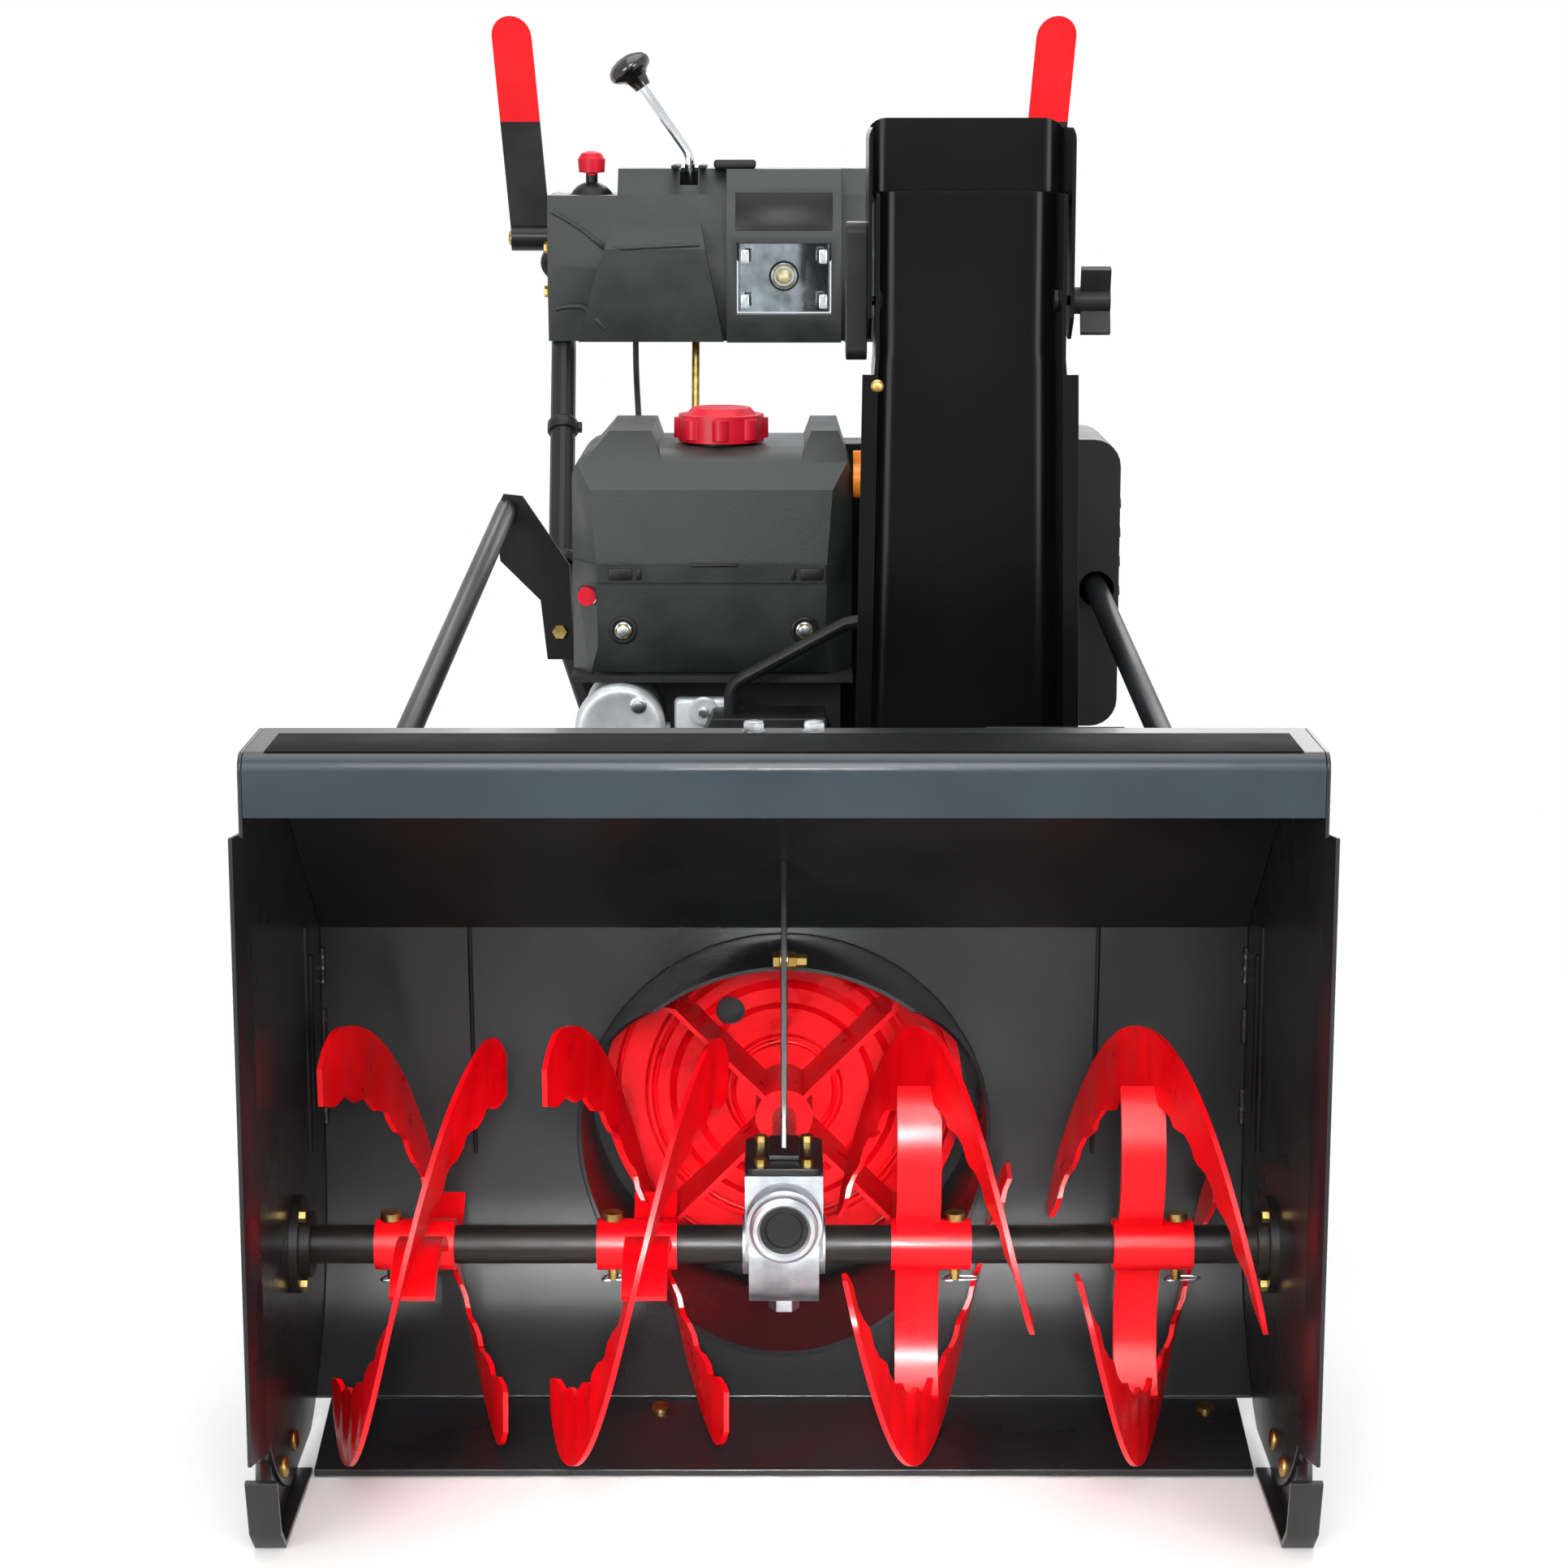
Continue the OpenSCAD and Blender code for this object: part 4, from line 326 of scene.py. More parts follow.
def lamp_glass(name):
    # Clear moulded polycarbonate with faint ripples.
    material, tree, shader, place = new_material(name)
    ripple = add_node(tree, "ShaderNodeTexNoise", values={"Scale": per_mm(9), "Detail": 1.0},
                      links={"Vector": place})
    bump = add_node(tree, "ShaderNodeBump", values={"Strength": 0.3, "Distance": 0.2 * MM},
                    links={"Height": ripple.outputs["Fac"]})
    dial(tree, shader, {"Base Color": linear("#F4F8FA"), "Transmission Weight": 1.0, "Roughness": 0.03,
                        "IOR": 1.2}, {"Normal": bump.outputs["Normal"]})
    return material


def finish(name):
    """The material of a finish, made when it is first asked for."""
    if name in bpy.data.materials:
        return bpy.data.materials[name]
    if name in LOOKS:
        return surface(name, *LOOKS[name])
    if name in SPLIT_LOOKS:
        return two_tone(name, *SPLIT_LOOKS[name])
    return lamp_glass(name)


# The solids that take each finish
FINISHES = {
    "lit_gloss_black_enamel": ["side_plates", "scraper_bar", "skid_shoes", "impeller_drum"],
    "baked_black_enamel": ["gearbox_cover", "gearbox_brace", "frame_box", "muffler_guard", "handle_tubes",
                           "handle_braces", "chute_drive"],
    "shaded_black_enamel": ["chute", "deflector"],
    "housing_enamel_lit_lip": ["auger_housing"],
    "gloss_red_enamel": [*AUGERS, "impeller"],
    "dipped_lever": ["left_clutch_lever", "right_clutch_lever"],
    "joystick_moulding": ["joystick"],
    "moulded_red_plastic": ["fuel_cap", "start_button"],
    "moulded_orange_plastic": ["choke_knob"],
    "grained_grey_plastic": ["engine_shroud", "dash_panel"],
    "moulded_black_plastic": ["blower_housing", "fuel_tank", "belt_cover", "pitch_bracket", "wing_knob",
                              "clean_out_tool", "left_trigger", "right_trigger"],
    "die_cast_aluminium": ["gearbox_case"],
    "silver_can_paint": ["starter_motor"],
    "dull_dark_casting": ["engine_block"],
    "turned_steel": ["impeller_shaft", "hex_shaft", "joystick_gimbal"],
    "black_oxide_steel": ["auger_shaft", "bearings"],
    "grey_cast_iron": ["impeller_pulley", "crank_pulley", "drive_disc"],
    "gear_bronze": ["worm_wheel"],
    "yellow_zinc_plate": ["fasteners", "shear_pins"],
    "bright_chrome": ["shift_lever", "headlight_reflector"],
    "clear_lamp_glass": ["headlight_lens"],
    "soft_black_rubber": ["hand_grips", "belts", "friction_wheel", "control_cables"],
    "moulded_tyre_rubber": ["left_tyre", "right_tyre"],
    "grey_rim_enamel": ["left_rim", "right_rim"],
}

# Solids whose edges are rounded as mouldings or castings, and those rounded as sheet
MOULDINGS = ["dash_panel", "engine_shroud", "gearbox_case", "belt_cover", "blower_housing",
             "left_clutch_lever", "right_clutch_lever", "choke_knob", "fuel_cap"]
SHEETS = ["auger_housing", "side_plates", "scraper_bar", "skid_shoes", "gearbox_cover", "gearbox_brace",
          "frame_box", "muffler_guard", "chute", "deflector", "pitch_bracket", "clean_out_tool",
          "handle_braces", *AUGERS]


def span(node):
    """A solid's lowest and highest corners in drawing millimetres."""
    return [(corner - LIP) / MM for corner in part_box(node)]


def pivot(name):
    """A joint's place in drawing millimetres."""
    spot = next(joint["pos_m"] for joint in frame["joints"] if joint["name"] == name)
    return (Vector(spot) - LIP) / MM


def landing(node, spot, direction):
    """The point of a solid that a ray from a spot meets, in drawing millimetres."""
    hit, place, _, _ = NODES[node].ray_cast(Vector(spot) * MM + LIP, Vector(direction))
    if not hit:
        raise RuntimeError(f"{node} isn't met from {tuple(spot)}")
    return (place - LIP) / MM


def facing(direction, spot):
    """The matrix that turns +Z to a direction and carries it to a spot."""
    turn = Vector(direction).to_track_quat("Z", "Y").to_matrix().to_4x4()
    return Matrix.Translation(Vector(spot)) @ turn


def carried(part, place):
    """Moves a part by a matrix and hands it on."""
    part.transform(place)
    return part


def aim(part, direction, spot):
    """Turns a part drawn along +Z to a direction and carries it to a spot."""
    return carried(part, facing(direction, spot))


def put(shape, part):
    """Adds a part to a shape."""
    mesh = bpy.data.meshes.new("part")
    part.to_mesh(mesh)
    part.free()
    shape.from_mesh(mesh)
    bpy.data.meshes.remove(mesh)


def soften(part, edges, radius, segments=2):
    """Rounds edges of a part."""
    bmesh.ops.bevel(part, geom=edges, offset=radius, offset_type="OFFSET", affect="EDGES",
                    segments=segments, profile=0.5, material=-1, clamp_overlap=True)


def raise_faces(part, faces, depth):
    """Raises faces along +Z into a closed body."""
    grown = bmesh.ops.extrude_face_region(part, geom=faces)["geom"]
    bmesh.ops.translate(part, vec=(0, 0, depth),
                        verts=[item for item in grown if isinstance(item, bmesh.types.BMVert)])
    bmesh.ops.recalc_face_normals(part, faces=part.faces)


def leaf(wide, tall):
    """One flat face round the origin."""
    part = bmesh.new()
    bmesh.ops.create_grid(part, x_segments=1, y_segments=1, size=0.5,
                          matrix=Matrix.Diagonal((wide, tall, 1, 1)))
    return part


def turned(profile, steps=32):
    """Spins a profile of radius and height about +Z."""
    part = bmesh.new()
    verts = [part.verts.new((radius, 0, height)) for radius, height in profile]
    edges = [part.edges.new(pair) for pair in zip(verts, verts[1:])]
    bmesh.ops.spin(part, geom=[*verts, *edges], cent=(0, 0, 0), axis=(0, 0, 1), angle=2 * math.pi,
                   steps=steps, use_merge=True)
    bmesh.ops.remove_doubles(part, verts=part.verts, dist=0.001)
    bmesh.ops.recalc_face_normals(part, faces=part.faces)
    return part


def oblong(wide, tall):
    """A rectangle's outline round the origin."""
    return [(x * wide / 2, y * tall / 2) for x, y in ((-1, -1), (1, -1), (1, 1), (-1, 1))]


def slab(outline, depth, edge, segments=2):
    """Raises an outline in x and y by a depth and rounds its edges."""
    part = bmesh.new()
    face = part.faces.new([part.verts.new((x, y, 0)) for x, y in outline])
    raise_faces(part, [face], depth)
    soften(part, part.edges[:], edge, segments)
    return part


def block(low, high, edge, segments=2):
    """A bar between two corners with rounded edges, in place."""
    outline = ((low[0], low[1]), (high[0], low[1]), (high[0], high[1]), (low[0], high[1]))
    return carried(slab(outline, high[2] - low[2], edge, segments), Matrix.Translation((0, 0, low[2])))


def wire(points, radius, closed=False):
    """A round wire along a smooth path through points."""
    curve = bpy.data.curves.new("wire", "CURVE")
    curve.dimensions, curve.bevel_depth, curve.bevel_resolution = "3D", radius, 3
    curve.use_fill_caps = not closed
    spline = curve.splines.new("NURBS")
    spline.points.add(len(points) - 1)
    for point, place in zip(spline.points, points):
        point.co = (*place, 1)
    spline.order_u, spline.resolution_u = 3, 6
    spline.use_endpoint_u, spline.use_cyclic_u = not closed, closed
    holder = bpy.data.objects.new("wire", curve)
    mesh = bpy.data.meshes.new_from_object(holder)
    part = bmesh.new()
    part.from_mesh(mesh)
    bpy.data.objects.remove(holder)
    bpy.data.curves.remove(curve)
    bpy.data.meshes.remove(mesh)
    return part


def hex_head(across, height, flange=0):
    """A chamfered hexagon head, on a round flange if that has a radius, standing on z = 0."""
    part = bmesh.new()
    seat = 1.4 if flange else 0
    corner = across / math.sqrt(3)
    bmesh.ops.create_cone(part, cap_ends=True, segments=6, radius1=corner, radius2=corner, depth=height,
                          matrix=Matrix.Translation((0, 0, seat + height / 2)))
    top = max(part.faces, key=lambda face: face.calc_center_median().z)
    soften(part, list(top.edges), height * 0.18)
    if flange:
        crown = seat + 0.3
        put(part, turned(((0, 0), (flange, 0), (flange, 0.9), (flange * 0.82, crown), (0, crown))))
    return part


def dome_head(radius, height):
    """A carriage bolt's domed head, standing on z = 0."""
    return turned(((0, 0), (radius, 0), (radius * 0.98, height * 0.3), (radius * 0.82, height * 0.68),
                   (radius * 0.5, height * 0.93), (0, height)), 24)


def piece(name, parts, look, body="chassis", sharp=35):
    """Joins parts, sets them into the frame and gives them finish and body."""
    shape = bmesh.new()
    for part in parts:
        put(shape, part)
    bmesh.ops.remove_doubles(shape, verts=shape.verts, dist=0.002)
    bmesh.ops.recalc_face_normals(shape, faces=shape.faces)
    shape.transform(Matrix.Translation(LIP) @ Matrix.Scale(MM, 4))
    mesh = bpy.data.meshes.new(name)
    shape.to_mesh(mesh)
    shape.free()
    mesh.shade_smooth()
    mesh.set_sharp_from_angle(angle=math.radians(sharp))
    mesh.materials.append(finish(look))
    made = bpy.data.objects.new(name, mesh)
    bpy.context.scene.collection.objects.link(made)
    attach(made, body)
    return made


class THROWER_OT_finish_solids(bpy.types.Operator):
    """Give every solid of the frame its finish."""

    bl_idname = "thrower.finish_solids"
    bl_label = "Finish the solids"

    def execute(self, context):
        for look, names in FINISHES.items():
            for name in names:
                NODES[name].data.materials.clear()
                NODES[name].data.materials.append(finish(look))
        bare = set(NODES) - {name for names in FINISHES.values() for name in names}
        if bare:
            raise RuntimeError(f"solids without a finish: {sorted(bare)}")
        return {"FINISHED"}


class THROWER_OT_soften_edges(bpy.types.Operator):
    """Round the edges of mouldings, sheets and castings."""

    bl_idname = "thrower.soften_edges"
    bl_label = "Soften the edges"

    def execute(self, context):
        for width, names in ((sizes().edge, MOULDINGS), (sizes().sheet_edge, SHEETS)):
            for name in names:
                solid = NODES[name]
                solid.modifiers.new("join_facets", "WELD").merge_threshold = 0.02 * MM
                flat = solid.modifiers.new("clear_facets", "DECIMATE")
                flat.decimate_type, flat.angle_limit = "DISSOLVE", math.radians(0.5)
                edge = solid.modifiers.new("round_edges", "BEVEL")
                edge.width, edge.segments, edge.limit_method = width, 3, "ANGLE"
                edge.angle_limit = math.radians(33)
                solid.modifiers.new("even_shading", "WEIGHTED_NORMAL").keep_sharp = False
        return {"FINISHED"}


class THROWER_OT_headlight(bpy.types.Operator):
    """Build the headlight's stepped mirror, its bulb in a collar and the clear rim round its lens."""

    bl_idname = "thrower.headlight"
    bl_label = "Headlight"

    def execute(self, context):
        low, high = span("headlight_lens")
        wide, tall = high.x - low.x, high.z - low.z
        middle = Vector(((low.x + high.x) / 2, high.y, (low.z + high.z) / 2))
        mirror = self.mirror(wide - 2, tall - 2)
        made = piece("lamp_mirror", [aim(mirror, FORWARD, middle + Vector((0, 2.4, 0)))],
                     "vapour_silver", sharp=12)
        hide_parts("headlight_reflector")
        collar = ((0, 0), (15, 0), (15, 3), (13, 5), (11, 4), (10, 2), (0, 2))
        piece("lamp_collar", [aim(turned(collar), FORWARD, middle + Vector((0, 20.5, 2)))],
              "bright_chrome")
        bulb = ((0, 0), (8.5, 0), (8.5, 5), (7, 9), (4, 11.5), (0, 12.5))
        piece("lamp_bulb", [aim(turned(bulb), FORWARD, middle + Vector((0, 18.6, 2)))],
              "warm_bulb_glass")
        piece("lamp_rim", [aim(self.rim(wide, tall), FORWARD, (middle.x, low.y - 1.8, middle.z))],
              "pale_rim_painted_reflection")
        return {"FINISHED"}

    def mirror(self, wide, tall):
        """A dished and fluted mirror, stepped inwards from its border."""
        part = leaf(wide, tall)
        floor = part.faces[:]
        for border, depth in ((4, 0), (7, -10), (2, 1.5), (5, -8), (9, -4)):
            bmesh.ops.inset_region(part, faces=floor, thickness=border, depth=depth, use_even_offset=True)
        bmesh.ops.subdivide_edges(part, edges=part.edges[:], cuts=4, use_grid_fill=True)
        flute, pitch = 0.9, 8.5
        for vert in part.verts:
            vert.co.z += flute * math.cos(vert.co.x * 2 * math.pi / pitch)
        bmesh.ops.recalc_face_normals(part, faces=part.faces)
        bmesh.ops.solidify(part, geom=part.faces[:], thickness=1.2)
        return part

    def rim(self, wide, tall):
        """A frame round the lens with a prism near each corner."""
        part = leaf(wide + 4, tall + 4)
        inner = part.faces[:]
        bmesh.ops.inset_region(part, faces=inner, thickness=6)
        bmesh.ops.delete(part, geom=inner, context="FACES")
        raise_faces(part, part.faces[:], 4)
        soften(part, part.edges[:], 1.5)
        for side in SIDES:
            for height in (-22, 22):
                place = Matrix.Translation((side * (wide / 2 - 8), height, 1))
                put(part, carried(slab(oblong(8, 14), 2.6, 1.2), place))
        return part


class THROWER_OT_console(bpy.types.Operator):
    """Add the console's bare plate, side nuts, slot guard and moulded brows, and the shift lever's knob."""

    bl_idname = "thrower.console"
    bl_label = "Console details"

    def execute(self, context):
        low, high = span("dash_panel")
        front, top = low.y, high.z
        slope = Vector((0, -46, 13)).normalized()
        seat = facing(slope, (0, front + 6.5, top - 41))
        plate = [carried(slab(oblong(96, 38), 1.6, 0.7), seat),
                 carried(slab(oblong(90, 32), 2.1, 0.5), seat)]
        piece("console_plate", plate, "bare_satin_film")
        lever = pivot("right_clutch_fold")
        nuts = []
        for side in SIDES:
            outward = (side, 0, 0)
            for drop in (78, 122):
                spot = (side * high.x, front + 56, top - drop)
                nuts.append(aim(hex_head(10, 4, 7), outward, spot))
            spot = (side * (high.x + 40.4), lever.y, lever.z)
            nuts.append(aim(dome_head(8, 3.5), outward, spot))
        piece("console_nuts", nuts, "yellow_zinc_plate")
        slot = pivot("shift_tilt")
        rail, reach = 7, 62
        guard = []
        for x in (slot.x - 17, slot.x + 10):
            corners = (x, slot.y - reach, top), (x + rail, slot.y + reach, top + 4)
            guard.append(block(*corners, 1.5))
        rest = (-70, front + 40, top), (-28, front + 70, top + 9)
        guard.append(block(*rest, 3, 3))
        piece("shift_guard", guard, "moulded_black_plastic")
        lines = (((-231, 958), (-205, 944), (-184, 926), (-172, 922), (-130, 924), (-84, 926)),
                 ((-228, 862), (-204, 868), (-190, 856), (-178, 843)))
        brows = []
        for side in SIDES:
            for line in lines:
                spots = [landing("dash_panel", (-side * x, front - 100, z), BACK) for x, z in line]
                brows.append(wire([spot + Vector((0, 0.6, 0)) for spot in spots], 2.6))
        piece("console_brows", brows, "grained_grey_plastic", sharp=60)
        pommel = ((0, -5), (8.6, -5), (9.2, -2), (10.8, 5), (14, 8.6), (19.4, 11.6), (22.6, 15.6),
                  (23.2, 19.6), (21, 24.4), (16, 28.4), (9, 30.8), (0, 31.6))
        lean = math.radians(35)
        foot = slot + Vector((-49, 0, 149))
        piece("shift_knob", [aim(turned(pommel, 40), (-math.sin(lean), 0, math.cos(lean)), foot)],
              "polished_black_phenolic", "shift_lever", sharp=50)
        return {"FINISHED"}


class THROWER_OT_engine_cover(bpy.types.Operator):
    """Add the bolts and clips of the engine cover and the silver castings below it."""

    bl_idname = "thrower.engine_cover"
    bl_label = "Engine cover details"

    def execute(self, context):
        low, _ = span("engine_shroud")
        front, bolt_z = low.y + 2, low.z + 40
        housing_top = span("auger_housing")[1].z
        ring = ((8.8, -0.4), (8.8, 1.2), (10, 1.8), (12, 0.8), (12.6, -0.4), (8.8, -0.4))
        bolts, clips = [], []
        for x in (-140, 18):
            bolts.append(aim(hex_head(10, 4.8, 7.4), FORWARD, (x, front - 0.6, bolt_z)))
            clips.append(aim(turned(ring), FORWARD, (x, front, bolt_z)))
        for x in (-22, 22):
            bolts.append(aim(hex_head(14.4, 6.4, 9), UP, (x, 93, housing_top - 0.4)))
        boss = Vector((-70, front, 541))
        bolts.append(aim(hex_head(8, 4, 7.5), FORWARD, (-127, front - 11, 548)))
        bolts.append(aim(hex_head(9, 4.5, 8), FORWARD, boss - Vector((0, 3.5, 0))))
        piece("cover_bolts", bolts, "clear_zinc_plate")
        seam = low.z + 84.5
        for x0, x1 in ((-152, -132), (-128, -124), (6, 10), (14, 34)):
            clips.append(block((x0, front - 4.4, seam), (x1, front - 1, seam + 10), 0.9))
        tab = (-82, front - 3.4, low.z + 95.6), (-40, front + 1, low.z + 98.4)
        clips.append(block(*tab, 0.8))
        piece("cover_clips", clips, "moulded_black_plastic")
        can = ((0, 1), (27, 1), (30, 2.4), (34, 2.4), (37.2, 1), (39.4, -2), (39.8, -9), (36.2, -9),
               (36.2, 0.2), (0, 0.2))
        body = (-96, front - 3, 505), (-48, front + 14, 552)
        pad = ((0, 0), (13, 0), (13, 2.6), (11, 4), (0, 4))
        castings = [aim(turned(can), FORWARD, (-143, front - 9, 526)),
                    block(*body, 4, 3),
                    aim(turned(pad), FORWARD, boss - Vector((0, 2, 0)))]
        piece("engine_castings", castings, "silver_can_paint")
        return {"FINISHED"}


class THROWER_OT_gearbox(bpy.types.Operator):
    """Add the gearbox's front boss with its plug and the bolt of its brace."""

    bl_idname = "thrower.gearbox"
    bl_label = "Gearbox details"

    def execute(self, context):
        front, height = span("gearbox_case")[0].y, pivot("impeller_spin").z
        boss = ((18.6, 0), (18.6, 3), (20.4, 4.6), (23.6, 4.6), (25.8, 3), (26.2, 0), (26.2, -6),
                (18.6, -6), (18.6, 0))
        piece("gearbox_boss", [aim(turned(boss), FORWARD, (0, front + 0.5, height))],
              "die_cast_aluminium")
        plug = ((0, 0.4), (13.5, 0.4), (14.5, 1.8), (18.4, 2.2), (18.4, -3), (0, -3))
        piece("gearbox_plug", [aim(turned(plug), FORWARD, (0, front + 0.2, height))],
              "bare_satin_film")
        bolt_y, bolt_z = 240, 404
        bolt = [aim(hex_head(12, 6, 8), (1, 0, 0), (2.2, bolt_y, bolt_z)),
                aim(hex_head(9, 9), (1, 0, 0), (9, bolt_y, bolt_z)),
                aim(hex_head(12, 5, 8), (-1, 0, 0), (-2.2, bolt_y, bolt_z))]
        piece("brace_bolt", bolt, "yellow_zinc_plate")
        return {"FINISHED"}


class THROWER_OT_impeller_rings(bpy.types.Operator):
    """Press the rings into the impeller's disc."""

    bl_idname = "thrower.impeller_rings"
    bl_label = "Impeller rings"

    def execute(self, context):
        low, high = span("impeller")
        centre = facing(FORWARD, ((low.x + high.x) / 2, high.y - 6, (low.z + high.z) / 2))
        rings = []
        for radius, width in ((44, 3), (50, 1.6), (112, 3), (119, 1.6), (144, 3)):
            profile = ((radius - width, -0.4), (radius - 0.6 * width, 1), (radius, 1.6),
                       (radius + 0.6 * width, 1), (radius + width, -0.4), (radius - width, -0.4))
            rings.append(carried(turned(profile, 72), centre))
        piece("impeller_rings", rings, "gloss_red_enamel", "impeller")
        return {"FINISHED"}


class THROWER_OT_shear_clips(bpy.types.Operator):
    """Wind a bow clip through each shear pin."""

    bl_idname = "thrower.shear_clips"
    bl_label = "Shear pin clips"

    def execute(self, context):
        bow = ((-2, -6, 0), (-8, -7, 0), (-9, 0, -1), (-5, 5.5, 0), (1, 5, 0), (10, 4.2, 0), (16, 3.6, 0),
               (20, 0, 0), (16, -4, 0), (9, -4.8, 0), (3, -5, 0))
        drop, pin_shift = 27.5, 19
        shaft = pivot("auger_spin")
        clips = []
        for node in AUGERS:
            low, high = span(node)
            middle = (low.x + high.x) / 2
            pin = (middle + math.copysign(pin_shift, middle), shaft.y, shaft.z - drop)
            clips.append(carried(wire(bow, 0.9), Matrix.Translation(pin)))
        piece("bow_clips", clips, "clear_zinc_plate", "auger")
        return {"FINISHED"}


class THROWER_OT_housing(bpy.types.Operator):
    """Add the housing's stitch welds, ribs, carriage bolts, shoe webs and the bare band on its top."""

    bl_idname = "thrower.housing"
    bl_label = "Housing details"

    def execute(self, context):
        bead = sizes().weld / MM
        half = span("auger_housing")[1].x
        wall_y = 375
        welds, ribs = [], []
        for side in SIDES:
            corner = side * (half - 1.5)
            for low, high in ((232, 262), (300, 330), (352, 382)):
                welds.append(self.weld((corner, wall_y - 1.8, low), (corner, wall_y - 1.8, high), bead))
            welds.append(self.weld((corner, 60, 601.5), (corner, 96, 601.5), bead))
            back = [(side * x, wall_y + 0.6, z) for x, z in ((256, 206), (257, 300), (258, 398))]
            ribs.append(wire(back, 2))
            for y, low, high in ((285, 235, 420), (312, 260, 390)):
                cheek = [(side * half, y, z) for z in (low, (low + high) / 2, high)]
                ribs.append(wire(cheek, 3))
        piece("stitch_welds", welds, "painted_weld", sharp=60)
        piece("pressed_ribs", ribs, "baked_black_enamel", sharp=60)
        slope = (0, -0.485, 0.875)
        bolts = [aim(dome_head(8.6, 4.6), slope, (x, 265, 19.9)) for x in (-341, -100, 100, 341)]
        shoe_z = 40
        for side in SIDES:
            for y in (105, 160):
                outside, inside = side * (half + 7.6), side * (half + 0.2)
                bolts.append(aim(hex_head(14.6, 5.6, 10), (side, 0, 0), (outside, y, shoe_z)))
                bolts.append(aim(dome_head(9, 4), (-side, 0, 0), (inside, y, shoe_z)))
        piece("carriage_bolts", bolts, "yellow_zinc_plate")
        # Drawn in y and z, and raised along x
        upright = Matrix(((0, 0, 1, 0), (1, 0, 0, 0), (0, 1, 0, 0), (0, 0, 0, 1)))
        outline = ((11, 62), (24, 21), (46, 2.5), (62, 2.5), (62, 62), (44, 80), (14, 80))
        webs = [carried(slab(outline, 4, 0.8), Matrix.Translation((x, 0, 0)) @ upright)
                for x in (-half - 7.4, half + 3.4)]
        piece("shoe_webs", webs, "lit_gloss_black_enamel")
        seat = landing("auger_housing", (0, 45, 700), (0, 0, -1))
        place = Matrix.Translation(seat + Vector((0, 0.5, -0.1)))
        film = carried(slab(oblong(732, 73), 0.6, 0.2), place)
        piece("top_film", [film], "bare_matt_film")
        return {"FINISHED"}

    def weld(self, first, last, bead):
        """A weld bead that wanders a little between its ends, in place."""
        first, last = Vector(first), Vector(last)
        waves, sway = 6, Vector((0, 0.25 * bead, 0))
        path = [first.lerp(last, step / waves) + step % 2 * sway for step in range(waves + 1)]
        return wire(path, bead)


class THROWER_OT_chute(bpy.types.Operator):
    """Add the chute's stud head and the bolt at its shoulder."""

    bl_idname = "thrower.chute"
    bl_label = "Chute details"

    def execute(self, context):
        front, tilt = span("chute")[0].y, pivot("deflector_tilt")
        stud = aim(dome_head(8.8, 3.6), (1, 0, 0), tilt - Vector((73.4, 0, 0)))
        piece("pivot_stud", [stud], "baked_black_enamel", "chute")
        seat = landing("chute", (tilt.x - 75, front - 100, 838), BACK)
        bolt = aim(hex_head(7, 3.6, 5.2), FORWARD, seat)
        piece("shoulder_bolt", [bolt], "yellow_zinc_plate", "chute")
        return {"FINISHED"}


class THROWER_OT_wheels(bpy.types.Operator):
    """Add the wheels' hub washers, pins, valves and the rings on the tyres' side walls."""

    bl_idname = "thrower.wheels"
    bl_label = "Wheel details"

    def execute(self, context):
        washer = ((9.7, 0), (19, 0), (19, 2.4), (18, 3), (9.7, 3), (9.7, 0))
        stem = ((0, 0), (5, 0), (4.6, 6), (3.6, 9), (3.6, 17), (4.6, 17.4), (4.6, 27), (3.8, 28), (0, 28))
        inner_wall, outer_wall = 182, 347
        for side, body in ((-1, "left_wheel"), (1, "right_wheel")):
            low, high = span(body.replace("wheel", "rim"))
            end = high.x if side > 0 else -low.x
            hub = pivot(f"{body}_spin")
            pin_x, pin_end = end - 5.5, 17
            turns = [step * math.pi / 6 for step in range(12)]
            ring = [(side * (pin_x + 6.5 * math.sin(turn)), hub.y + 13 * math.cos(turn), hub.z + pin_end)
                    for turn in turns]
            pin = [(side * pin_x, hub.y, hub.z + step) for step in (-pin_end, -8, 0, 8, pin_end)]
            pins = [aim(turned(washer), (side, 0, 0), (side * (end - 11.6), hub.y, hub.z)),
                    wire(pin, 2.6), wire(ring, 1.1, closed=True)]
            piece(f"{body}_pin", pins, "yellow_zinc_plate", body)
            valve = aim(turned(stem, 20), (side, 0, 0), (side * (end - 68), hub.y - 84, hub.z))
            piece(f"{body}_valve", [valve], "soft_black_rubber", body)
            rings = []
            for wall, out in ((inner_wall, -side), (outer_wall, side)):
                place = facing((out, 0, 0), (side * wall, hub.y, hub.z))
                for radius, width in ((146, 1.6), (151, 1)):
                    inner, outer, crown = radius - width, radius + width, 0.5 * width
                    profile = ((inner, -0.6), (radius - crown, 0.9), (radius + crown, 0.9), (outer, -0.6),
                               (inner, -0.6))
                    rings.append(carried(turned(profile, 96), place))
            piece(f"{body}_rings", rings, "moulded_tyre_rubber", body)
        return {"FINISHED"}


